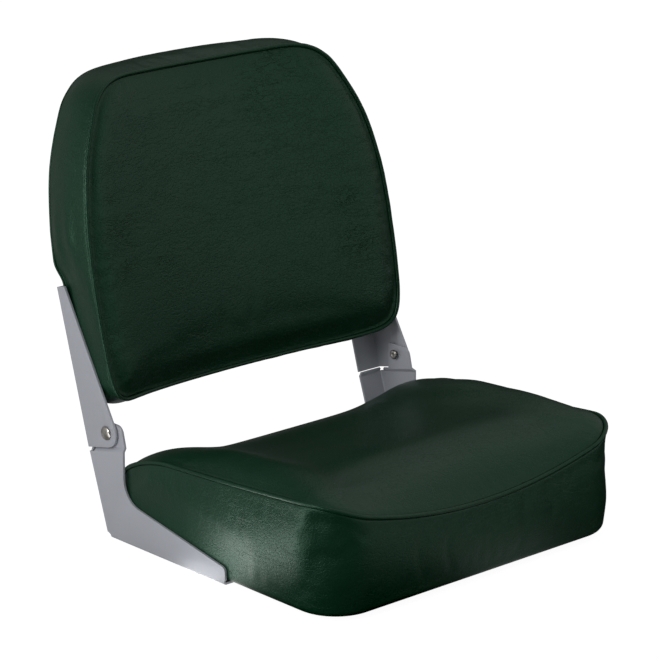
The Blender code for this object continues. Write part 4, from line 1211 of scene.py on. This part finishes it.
    def build_band(self, loop: SeamLoop) -> None:
        """Model and dress the band.

        Args:
            loop: The seam in the panel's plane.
        """
        rings, shares, covers = self.wall_rings(loop)
        share, cover = np.repeat(shares, len(loop.points)), np.concatenate(covers)
        edge = np.minimum(share, 1 - share)
        shift = self.band_puckers.shift(np.tile(along_loop(loop.points), len(rings)), edge)
        up, sideways = np.tile(loop.points[:, 1], len(rings)), np.tile(loop.sideways, len(rings))
        pinched = np.exp(-((up - self.streak_up) / self.streak_reach) ** 2) * sideways
        streaks = np.sin(2 * math.pi * self.streak_count * share + self.streak_phase)
        shift += self.streak_depth * pinched * streaks * smoothstep(edge / self.streak_ramp)
        faces = [corners[::-1] for corners in ring_faces(len(loop.points), len(rings))]
        held = np.maximum(1 - edge / self.sewn_share, cover * self.press_hold)
        self.sew("back_band_cover", "back_side_band", (np.vstack(rings), faces), held,
                 shift * (1 - cover), ClothPuff(slack=5 * MM))

    def build(self) -> None:
        """Build the whole cushion."""
        loop = self.seam_loop()
        bands = self.wall_rings(loop)[0]
        walls = [bands[row] for row in self.foam_rows]
        self.foam_block("back_foam_block", "back_foam", loop, walls)
        self.build_front(loop)
        self.build_rear(loop)
        self.build_band(loop)
        seam = self.seam_line(loop, self.face)
        self.welt("back_front_cord_welt", "back_front_welt", seam, loop, self.welt_radius)
        seam = self.seam_line(self.rear_loop(loop), self.rear_face) * (1, 1, -1)
        self.welt("back_rear_cord_welt", "back_rear_welt", seam, loop, self.rear_welt_radius)
        log.info("backrest cover built")


@dataclass
class HingeBrackets(Assembly):
    """The four bent sheets, with their edges rounded, and the two rivets."""

    edge: float = 0.45 * MM
    weld: float = 0.01 * MM
    flat_angle: float = math.radians(1.0)
    sharp_angle: float = math.radians(35)
    smooth_angle: float = math.radians(50)
    face_x: float = 0.205
    head_radius: float = 7.5 * MM
    head_height: float = 3.0 * MM
    shank_radius: float = 3.2 * MM
    tail_radius: float = 5.2 * MM
    tail_height: float = 1.8 * MM
    tail_top: float = 0.1956
    steps: int = 40
    head_rings: tuple = ((0.98, 0.02), (1.0, 0.12), (0.985, 0.28), (0.93, 0.46), (0.84, 0.63),
                         (0.71, 0.77), (0.55, 0.88), (0.36, 0.955), (0.16, 0.99))
    tail_rings: tuple = ((1.0, 0.05), (1.03, 0.25), (0.98, 0.5), (0.86, 0.78), (0.68, 0.95),
                         (0.5, 1.0), (0.38, 0.9), (0.28, 0.72), (0.12, 0.62))

    def soften(self, name: str, node: str, body: Body) -> None:
        """Copy a packed bracket, join its triangles into faces and round its edges.

        Args:
            name: The new piece's name.
            node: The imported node.
            body: The body that it moves with.
        """
        piece = link(name, frame["nodes"][node].data.copy())
        edit_whole(piece)
        bpy.ops.mesh.remove_doubles(threshold=self.weld)
        bpy.ops.mesh.dissolve_limited(angle_limit=self.flat_angle)
        bpy.ops.object.mode_set(mode="OBJECT")
        apply_modifier(piece, "BEVEL", {"width": self.edge, "segments": 3, "limit_method": "ANGLE",
                                        "angle_limit": self.sharp_angle, "harden_normals": False})
        bpy.ops.object.shade_smooth_by_angle(angle=self.smooth_angle)
        self.dress(piece, Slot.COAT, body, node)

    def rivet(self, side: Side) -> None:
        """Model one rivet from its tail to its domed head.

        Args:
            side: The rivet's side.
        """
        base = self.face_x + CLEARANCE
        tail = [(self.tail_radius * radius, self.tail_top - self.tail_height * rise)
                for radius, rise in self.tail_rings]
        head = [(self.head_radius * radius, base + self.head_height * rise)
                for radius, rise in self.head_rings]
        shank = [(self.shank_radius, self.tail_top), (self.shank_radius, base)]
        profile = tail[::-1] + shank + head
        make_active(None)
        radius, x = profile[0]
        bpy.ops.mesh.primitive_circle_add(
            vertices=self.steps, radius=radius, fill_type="NGON",
            location=(x, PIVOT.y, PIVOT.z), rotation=(0, math.pi / 2, 0))
        piece = bpy.context.object
        piece.name = side.word + "_hinge_rivet"
        bpy.ops.object.transform_apply(location=True, rotation=True, scale=True)
        edit_whole(piece)
        for (before, last), (after, new) in zip(profile, profile[1:]):
            bpy.ops.mesh.extrude_region_move(TRANSFORM_OT_translate={"value": (new - last, 0, 0)})
            grow = after / before
            bpy.ops.transform.resize(value=(1, grow, grow), center_override=(new, PIVOT.y, PIVOT.z))
        bpy.ops.mesh.select_all(action="SELECT")
        if side is Side.LEFT:
            bpy.ops.transform.resize(value=(-1, 1, 1), center_override=(0, PIVOT.y, PIVOT.z))
        bpy.ops.mesh.normals_make_consistent(inside=False)
        bpy.ops.object.mode_set(mode="OBJECT")
        bpy.ops.object.shade_smooth_by_angle(angle=self.smooth_angle)
        self.dress(piece, Slot.STEEL, Body.SEAT, side.word + "_rivet")

    def build(self) -> None:
        """Build both sides' brackets and rivets."""
        for side in Side:
            for level, body in (("lower", Body.SEAT), ("upper", Body.BACKREST)):
                stem = side.word + "_" + level
                self.soften(stem + "_sheet", stem + "_bracket", body)
            self.rivet(side)
        log.info("brackets built")


class Sketch:
    """Adds and joins nodes in one node tree."""

    def __init__(self, tree: bpy.types.NodeTree) -> None:
        """Keep the tree."""
        self.tree = tree

    def feed(self, node: bpy.types.Node, inputs: dict) -> None:
        """Set a node's inputs, or join them to sockets, by name or number.

        Args:
            node: The node.
            inputs: Values or sockets, by name or number.
        """
        for key, value in inputs.items():
            if isinstance(value, Socket):
                self.tree.links.new(value, node.inputs[key])
            else:
                node.inputs[key].default_value = value

    def add(self, kind: str, inputs: dict | None = None, **settings: object) -> Outputs:
        """Return a new node's outputs.

        Args:
            kind: The node's type.
            inputs: Values or sockets for its inputs, by name or number.
            settings: The node's own settings.

        Returns:
            The outputs.
        """
        node = self.tree.nodes.new(kind)
        configure(node, settings)
        self.feed(node, inputs or {})
        return node.outputs

    def coordinates(self) -> Socket:
        """Return the place in the object's own coordinates."""
        return self.add("ShaderNodeTexCoord")["Object"]

    def math(self, operation: str, first: Socket | float, second: Socket | float = 0.0) -> Socket:
        """Return the result of a Math node."""
        return self.add("ShaderNodeMath", {0: first, 1: second}, operation=operation)[0]

    def remap(self, value: Socket, low: float, high: float, to_low: float = 0.0,
              to_high: float = 1.0) -> Socket:
        """Return a value carried from one range to another, held within it."""
        return self.add("ShaderNodeMapRange", {0: value, 1: low, 2: high, 3: to_low, 4: to_high})[0]

    def mix(self, factor: Socket, first: Socket | tuple, second: Socket | tuple) -> Socket:
        """Return a mix of two colours, each a socket or three channels."""
        ends = [end if isinstance(end, Socket) else (*end, 1) for end in (first, second)]
        return self.add("ShaderNodeMix", {0: factor, 6: ends[0], 7: ends[1]}, data_type="RGBA")[2]

    def blend(self, factor: Socket, first: Socket | float, second: Socket | float) -> Socket:
        """Return a mix of two numbers."""
        return self.add("ShaderNodeMix", {0: factor, 2: first, 3: second})[0]

    def noise(self, place: Socket, scale: Socket | float, detail: float, **more: float) -> Socket:
        """Return a soft noise between 0 and 1."""
        inputs = {"Vector": place, "Scale": scale, "Detail": detail, **more}
        return self.add("ShaderNodeTexNoise", inputs)[0]

    def bump(self, height: Socket, strength: float, distance: float, **more: Socket) -> Socket:
        """Return the normal that a height gives."""
        inputs = {"Height": height, "Strength": strength, "Distance": distance, **more}
        return self.add("ShaderNodeBump", inputs)[0]

    def group(self, tree: bpy.types.NodeTree, **inputs: float) -> Outputs:
        """Return what a group gives."""
        return self.add("ShaderNodeGroup", inputs, node_tree=tree)


def new_group(name: str, outputs: tuple, inputs: tuple = ()) -> Sketch:
    """Return the sketch of a new shader node group, whose sockets all carry numbers.

    Args:
        name: The group's name.
        outputs: Names of what it gives.
        inputs: Names of what it takes.

    Returns:
        The group's sketch.
    """
    tree = bpy.data.node_groups.new(name, "ShaderNodeTree")
    for labels, way in ((inputs, "INPUT"), (outputs, "OUTPUT")):
        for label in labels:
            tree.interface.new_socket(label, in_out=way, socket_type="NodeSocketFloat")
    return Sketch(tree)


def leather_grain() -> bpy.types.NodeTree:
    """Return the group that embosses a fine leather grain with thin flow lines.

    Returns:
        The group.
    """
    sketch = new_group("leather_grain", ("Height",))
    place = sketch.coordinates()
    pebbles = sketch.add("ShaderNodeTexVoronoi",
                         {"Vector": place, "Scale": 620.0, "Randomness": 1.0},
                         feature="SMOOTH_F1")["Distance"]
    wander = sketch.add("ShaderNodeTexNoise",
                        {"Vector": place, "Scale": 60.0, "Detail": 3.0})["Color"]
    swing = sketch.add("ShaderNodeVectorMath", {0: wander, 3: 12 * MM}, operation="SCALE")[0]
    bent = sketch.add("ShaderNodeVectorMath", {0: place, 1: swing}, operation="ADD")[0]
    cells = sketch.add("ShaderNodeTexVoronoi", {"Vector": bent, "Scale": 210.0},
                       feature="DISTANCE_TO_EDGE")["Distance"]
    lines = sketch.math("MULTIPLY", sketch.remap(cells, 0.0, 0.10), 0.5)
    height = sketch.math("ADD", sketch.math("MULTIPLY", pebbles, 0.6), lines)
    sketch.feed(sketch.tree.nodes.new("NodeGroupOutput"), {"Height": height})
    return sketch.tree


def crease_lines(spots: list) -> bpy.types.NodeTree:
    """Return the group that draws thin crease lines, mostly round the places that pucker; its Mask
    is painted shade that darkens the vinyl's colour along the lines.

    Args:
        spots: Each place that puckers, as its centre and radius.

    Returns:
        The group.
    """
    sketch = new_group("crease_lines", ("Height", "Mask"))
    place = sketch.coordinates()
    near = 0.32
    for centre, radius in spots:
        away = sketch.add("ShaderNodeVectorMath", {0: place, 1: centre},
                          operation="DISTANCE")["Value"]
        close = sketch.remap(away, radius * 0.3, radius * 1.3, 1.0, 0.0)
        near = sketch.math("MAXIMUM", near, close)
    drawn = 0.0
    for turn, scale, shift in ((0.25, 58.0, 0.0), (-0.5, 92.0, 3.7), (0.12, 150.0, 7.1)):
        flat = sketch.add("ShaderNodeMapping", {
            "Vector": place, "Location": (shift, shift, shift),
            "Rotation": (0.0, turn, turn), "Scale": (0.42, 0.42, 1.5)})[0]
        level = sketch.noise(flat, scale, 3.0, Roughness=0.55, Distortion=0.4)
        ridge = sketch.math("ABSOLUTE", sketch.math("SUBTRACT", level, 0.5))
        patches = sketch.remap(sketch.noise(flat, scale * 0.35, 2.0), 0.42, 0.62)
        line = sketch.math("MULTIPLY", sketch.remap(ridge, 0.0, 0.022, 1.0, 0.0), patches)
        drawn = sketch.math("MAXIMUM", drawn, line)
    drawn = sketch.math("MULTIPLY", drawn, near)
    # Mask: painted shade, where the vinyl's colour is darkened along the crease lines
    sketch.feed(sketch.tree.nodes.new("NodeGroupOutput"),
                {"Height": sketch.math("MULTIPLY", drawn, -1.0), "Mask": drawn})
    return sketch.tree


def soft_mottle() -> bpy.types.NodeTree:
    """Return the group that gives a slow uneven tone between 0 and 1.

    Returns:
        The group.
    """
    sketch = new_group("soft_mottle", ("Tone",), ("Scale",))
    scale = sketch.add("NodeGroupInput")["Scale"]
    noise = sketch.noise(sketch.coordinates(), scale, 5.0, Roughness=0.55)
    sketch.feed(sketch.tree.nodes.new("NodeGroupOutput"), {"Tone": sketch.remap(noise, 0.32, 0.68)})
    return sketch.tree


def edge_wear() -> bpy.types.NodeTree:
    """Return the group that finds a hard piece's worn edges.

    Returns:
        The group.
    """
    sketch = new_group("edge_wear", ("Mask",))
    sharp = sketch.remap(sketch.add("ShaderNodeNewGeometry")["Pointiness"], 0.53, 0.62)
    rub = sketch.remap(sketch.noise(sketch.coordinates(), 240.0, 3.0), 0.40, 0.60)
    mask = sketch.math("MULTIPLY", sharp, rub)
    sketch.feed(sketch.tree.nodes.new("NodeGroupOutput"), {"Mask": mask})
    return sketch.tree


@dataclass(frozen=True)
class Finish:
    """What every finish has: a name, its colour, how rough it is and how finely it is mottled."""

    name: str
    colour: tuple
    roughness: float
    mottling: float = 40.0

    def build(self, groups: dict) -> bpy.types.Material:
        """Return the material.

        Args:
            groups: The shared node groups, by name.

        Returns:
            The material.
        """
        material = bpy.data.materials.new(self.name)
        material.use_nodes = True
        sketch = Sketch(material.node_tree)
        tone = sketch.group(groups["mottle"], Scale=self.mottling)["Tone"]
        sketch.feed(material.node_tree.nodes["Principled BSDF"], self.surface(sketch, groups, tone))
        return material

    def surface(self, sketch: Sketch, groups: dict, tone: Socket) -> dict:
        """Return the shader's inputs, which each finish gives its own form."""
        raise NotImplementedError


@dataclass(frozen=True)
class Vinyl(Finish):
    """Marine vinyl with an embossed grain, its colour darkened along the crease lines as painted
    shade.
    """

    mottling: float = 9.0
    # the darker green: a random tone in the mottling, and painted shade along the crease lines
    shade: tuple = (0.0030, 0.0225, 0.0098)
    sheen_tint: tuple = (0.56, 1.0, 0.75)
    sheen: float = 0.44
    relief: float = 0.35 * MM

    def surface(self, sketch: Sketch, groups: dict, tone: Socket) -> dict:
        """Return the shader's inputs.

        Args:
            sketch: The material's tree.
            groups: The shared node groups, by name.
            tone: The mottling, between 0 and 1.

        Returns:
            Values or sockets, by the input's name.
        """
        creases_and_shade = sketch.group(groups["creases_and_shade"])
        green = sketch.mix(tone, self.shade, self.colour)
        # painted shade: the colour darkens toward the darker green along the crease lines
        green = sketch.mix(sketch.math("MULTIPLY", creases_and_shade["Mask"], 0.3), green, self.shade)
        grain = sketch.bump(sketch.group(groups["grain"])["Height"], 0.50, self.relief)
        return {"Base Color": green,
                "Roughness": sketch.remap(tone, 0.0, 1.0, self.roughness - 0.04,
                                          self.roughness + 0.05),
                "Normal": sketch.bump(creases_and_shade["Height"], 1.0, self.relief, Normal=grain),
                "Specular IOR Level": self.sheen, "Specular Tint": (*self.sheen_tint, 1)}


@dataclass(frozen=True)
class PowderCoat(Finish):
    """Satin grey powder coat with a slight peel and worn edges."""

    mottling: float = 30.0
    worn: tuple = (0.50, 0.50, 0.50)
    rubbed: float = 0.35
    metallic: float = 0.15

    def surface(self, sketch: Sketch, groups: dict, tone: Socket) -> dict:
        """Return the shader's inputs.

        Args:
            sketch: The material's tree.
            groups: The shared node groups, by name.
            tone: The mottling, between 0 and 1.

        Returns:
            Values or sockets, by the input's name.
        """
        bright = tuple(min(channel * 1.02, 1) for channel in self.colour)
        grey = sketch.mix(tone, self.colour, bright)
        peel = sketch.noise(sketch.coordinates(), 700.0, 2.0)
        wear = sketch.math("MULTIPLY", sketch.group(groups["wear"])["Mask"], self.rubbed)
        return {"Base Color": sketch.mix(wear, grey, self.worn),
                "Roughness": sketch.remap(tone, 0.0, 1.0, self.roughness - 0.02,
                                          self.roughness + 0.02),
                "Normal": sketch.bump(peel, 0.05, 0.2 * MM),
                "Metallic": self.metallic}


@dataclass(frozen=True)
class BareSteel(Finish):
    """Bright steel with fine turning marks and dull spots."""

    mottling: float = 160.0
    dull: tuple = (0.30, 0.28, 0.25)

    def surface(self, sketch: Sketch, groups: dict, tone: Socket) -> dict:
        """Return the shader's inputs.

        Args:
            sketch: The material's tree.
            groups: The shared node groups, by name; not used here.
            tone: The mottling, between 0 and 1.

        Returns:
            Values or sockets, by the input's name.
        """
        marks = sketch.noise(sketch.coordinates(), 1500.0, 2.0)
        return {"Base Color": sketch.mix(tone, self.dull, self.colour),
                "Roughness": sketch.remap(tone, 0.0, 1.0, self.roughness + 0.10, self.roughness),
                "Normal": sketch.bump(marks, 0.15, 0.1 * MM),
                "Metallic": 1.0}


@dataclass(frozen=True)
class Moulding(Finish):
    """A plain moulded or foamed material with its own fine texture."""

    texture_scale: float = 400.0
    depth: float = 0.2 * MM

    def surface(self, sketch: Sketch, groups: dict, tone: Socket) -> dict:
        """Return the shader's inputs.

        Args:
            sketch: The material's tree.
            groups: The shared node groups, by name; not used here.
            tone: The mottling, between 0 and 1.

        Returns:
            Values or sockets, by the input's name.
        """
        inputs = {"Vector": sketch.coordinates(), "Scale": self.texture_scale}
        cells = sketch.add("ShaderNodeTexVoronoi", inputs)["Distance"]
        shade = tuple(channel * 0.82 for channel in self.colour)
        return {"Base Color": sketch.mix(tone, shade, self.colour), "Roughness": self.roughness,
                "Normal": sketch.bump(cells, 0.4, self.depth)}


class Palette:
    """All the finishes, built once over shared groups."""

    puckers = ((0.080, 0.326, 0.050), (0.150, 0.180, 0.022), (0.150, 0.135, 0.032),
               (-0.168, 0.212, 0.036), (-0.168, 0.174, 0.034), (-0.060, 0.080, 0.030),
               (-0.100, 0.168, 0.028))
    inside_seam = 0.05

    def __init__(self) -> None:
        """Build the groups and the materials."""
        back = BackCushion(self)
        rows = np.array(self.puckers)
        spots = rows[:, :2]
        height = back.face(spots, np.full(len(spots), self.inside_seam))
        centres = back.place(np.column_stack([spots, height]))
        creases_and_shade = crease_lines(list(zip(centres.tolist(), rows[:, 2].tolist())))
        groups = {"grain": leather_grain(), "creases_and_shade": creases_and_shade, "mottle": soft_mottle(),
                  "wear": edge_wear()}
        finishes = {
            Slot.VINYL: Vinyl("vinyl_green", (0.0041, 0.0285, 0.0125), 0.35),
            Slot.COAT: PowderCoat("coat_grey", (0.43, 0.445, 0.488), 0.46),
            Slot.STEEL: BareSteel("steel_bright", (0.62, 0.60, 0.56), 0.26),
            Slot.FOAM: Moulding("foam_yellow", (0.78, 0.70, 0.42), 0.95, texture_scale=900.0,
                                depth=0.6 * MM),
            Slot.FRAME: Moulding("frame_black", (0.030, 0.030, 0.033), 0.55),
            Slot.NYLON: Moulding("nylon_white", (0.80, 0.80, 0.78), 0.45),
        }
        self.materials = {slot: finish.build(groups) for slot, finish in finishes.items()}

    def paint_nodes(self) -> None:
        """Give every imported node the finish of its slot."""
        for row in frame["record"]["subparts"]:
            for slot in frame["nodes"][row["node"]].material_slots:
                slot.material = self.materials[Slot(row["material_slot"])]


@dataclass
class Studio:
    """Camera, floor, background and lights.

    The levels are pairs of a heading in degrees, counted from +X to +Y, and how bright the
    floor or the room looks there to glossy rays. The floor's levels are a painted reflection:
    the floor glows to glossy rays, unevenly by heading, though it is no lamp.
    """

    camera_place: tuple = (-2.0782, -2.2466, 1.1515)
    camera_target: tuple = (0.100, 0.170, 0.1637)
    lens: float = 173.02
    sensor: float = 36.0
    lamp_place: tuple = (-3.4, -0.2, 1.7)
    lamp_target: tuple = (0.0, 0.1, 0.2)
    lamp_size: float = 1.4
    lamp_energy: float = 48.0
    floor_size: float = 60.0
    floor_glow: float = 0.80
    floor_white: float = 1.20
    room_low: float = 0.26
    room_high: float = 0.50
    brightest: float = 4.0
    white: tuple = (1.0, 1.0, 1.0, 1.0)
    # painted reflection: how bright the floor glows to glossy rays at each heading, though it is no
    # lamp
    floor_painted_reflection_levels: tuple = (
        (-180, 2.7), (-172, 1.0), (-160, 0.04), (-105, 0.02), (-75, 0.32), (-45, 0.03), (0, 0.03),
        (60, 0.09), (110, 0.30), (135, 0.34), (150, 0.24), (158, 0.36), (164, 1.3), (170, 3.4),
        (176, 3.6), (180, 2.7))
    wall_levels: tuple = (
        (-180, 0.25), (-150, 0.04), (-110, 0.05), (-85, 0.22), (-66, 0.84), (-50, 0.72),
        (-35, 0.62), (-18, 0.42), (0, 0.60), (20, 0.33), (45, 0.02), (75, 0.18), (105, 0.28),
        (130, 0.56), (155, 0.56), (180, 0.25))
    high_levels: tuple = ((-180, 0.20), (-90, 0.24), (-45, 0.47), (0, 0.38), (28, 0.58), (50, 0.34),
                          (90, 0.26), (135, 0.20), (180, 0.20))

    def add_camera(self) -> None:
        """Place the camera and make it the scene's."""
        camera = link("camera", bpy.data.cameras.new("camera"))
        configure(camera.data, {"lens": self.lens, "sensor_width": self.sensor, "clip_start": 0.1})
        aim(camera, self.camera_place, self.camera_target)
        bpy.context.scene.camera = camera

    def add_lamp(self) -> None:
        """Add the one square area light, on the left."""
        lamp = link("key_left", bpy.data.lights.new("key_left", "AREA"))
        configure(lamp.data, {"size": self.lamp_size, "energy": self.lamp_energy})
        aim(lamp, self.lamp_place, self.lamp_target)

    def glow(self, sketch: Sketch, place: Socket, levels: tuple) -> Socket:
        """Return how bright the surroundings look to glossy rays.

        Args:
            sketch: The tree to draw in.
            place: A direction, or a place on the floor.
            levels: Headings and brightnesses.

        Returns:
            The brightness.
        """
        split = sketch.add("ShaderNodeSeparateXYZ", {0: place})
        heading = sketch.math("ARCTAN2", split["Y"], split["X"])
        turned = sketch.remap(heading, -math.pi, math.pi)
        curve = sketch.add("ShaderNodeFloatCurve", {"Value": turned})[0]
        points = curve.node.mapping.curves[0].points
        for turn, level in levels[1:-1]:
            points.new((turn + 180) / 360, level / self.brightest)
        points[0].location = (0, levels[0][1] / self.brightest)
        points[-1].location = (1, levels[-1][1] / self.brightest)
        curve.node.mapping.update()
        return sketch.math("MULTIPLY", curve, self.brightest)

    def add_floor(self) -> None:
        """Lay a white floor that keeps a faint shadow and glows to glossy rays as a painted
        reflection, brighter at some headings than others.
        """
        make_active(None)
        bpy.ops.mesh.primitive_plane_add(size=self.floor_size, location=(0, 0, 0))
        floor = bpy.context.object
        floor.name = "floor"
        material = bpy.data.materials.new("floor_white")
        material.use_nodes = True
        nodes, sketch = material.node_tree.nodes, Sketch(material.node_tree)
        shader = nodes["Principled BSDF"]
        sketch.feed(shader, {"Base Color": (0.80, 0.80, 0.80, 1), "Roughness": 0.9})
        rays = sketch.add("ShaderNodeLightPath")
        white = sketch.add("ShaderNodeEmission",
                           {"Color": self.white, "Strength": self.floor_white})[0]
        share = sketch.math("MULTIPLY", rays["Is Camera Ray"], self.floor_glow)
        seen = sketch.add("ShaderNodeMixShader", {0: share, 1: shader.outputs[0], 2: white})[0]
        # painted reflection: the floor glows to glossy rays by heading, though it is no lamp
        glow = self.glow(sketch, sketch.coordinates(), self.floor_painted_reflection_levels)
        painted_reflection = sketch.add("ShaderNodeEmission", {"Color": self.white, "Strength": glow})[0]
        both = sketch.add("ShaderNodeMixShader",
                          {0: rays["Is Glossy Ray"], 1: seen, 2: painted_reflection})[0]
        sketch.feed(nodes["Material Output"], {0: both})
        floor.data.materials.append(material)

    def add_world(self) -> None:
        """Make the background white to the camera and a shaped grey room to the rest."""
        world = bpy.data.worlds.new("room")
        bpy.context.scene.world = world
        world.use_nodes = True
        nodes, sketch = world.node_tree.nodes, Sketch(world.node_tree)
        rays = sketch.add("ShaderNodeLightPath")
        place = sketch.add("ShaderNodeTexCoord")["Generated"]
        height = sketch.remap(sketch.add("ShaderNodeSeparateXYZ", {0: place})["Z"], 0.30, 0.70)
        gloss = sketch.blend(height, self.glow(sketch, place, self.wall_levels),
                             self.glow(sketch, place, self.high_levels))
        soft = sketch.blend(height, self.room_low, self.room_high)
        strength = sketch.blend(rays["Is Glossy Ray"], soft, gloss)
        room = nodes["Background"]
        sketch.feed(room, {"Color": self.white, "Strength": strength})
        backdrop = sketch.add("ShaderNodeBackground", {"Color": self.white, "Strength": 1.0})[0]
        both = sketch.add("ShaderNodeMixShader",
                          {0: rays["Is Camera Ray"], 1: room.outputs[0], 2: backdrop})[0]
        sketch.feed(nodes["World Output"], {0: both})

    def build(self) -> None:
        """Set up the whole studio."""
        self.add_camera()
        self.add_floor()
        self.add_world()
        self.add_lamp()
        bpy.context.scene.view_settings.view_transform = "Standard"
        log.info("studio ready")


def main() -> None:
    """Dress the seat and set up the studio."""
    palette = Palette()
    palette.paint_nodes()
    for kind in (HingeBrackets, SeatCushion, BackCushion):
        kind(palette).build()
    Studio().build()


if __name__ == "__main__":
    main()
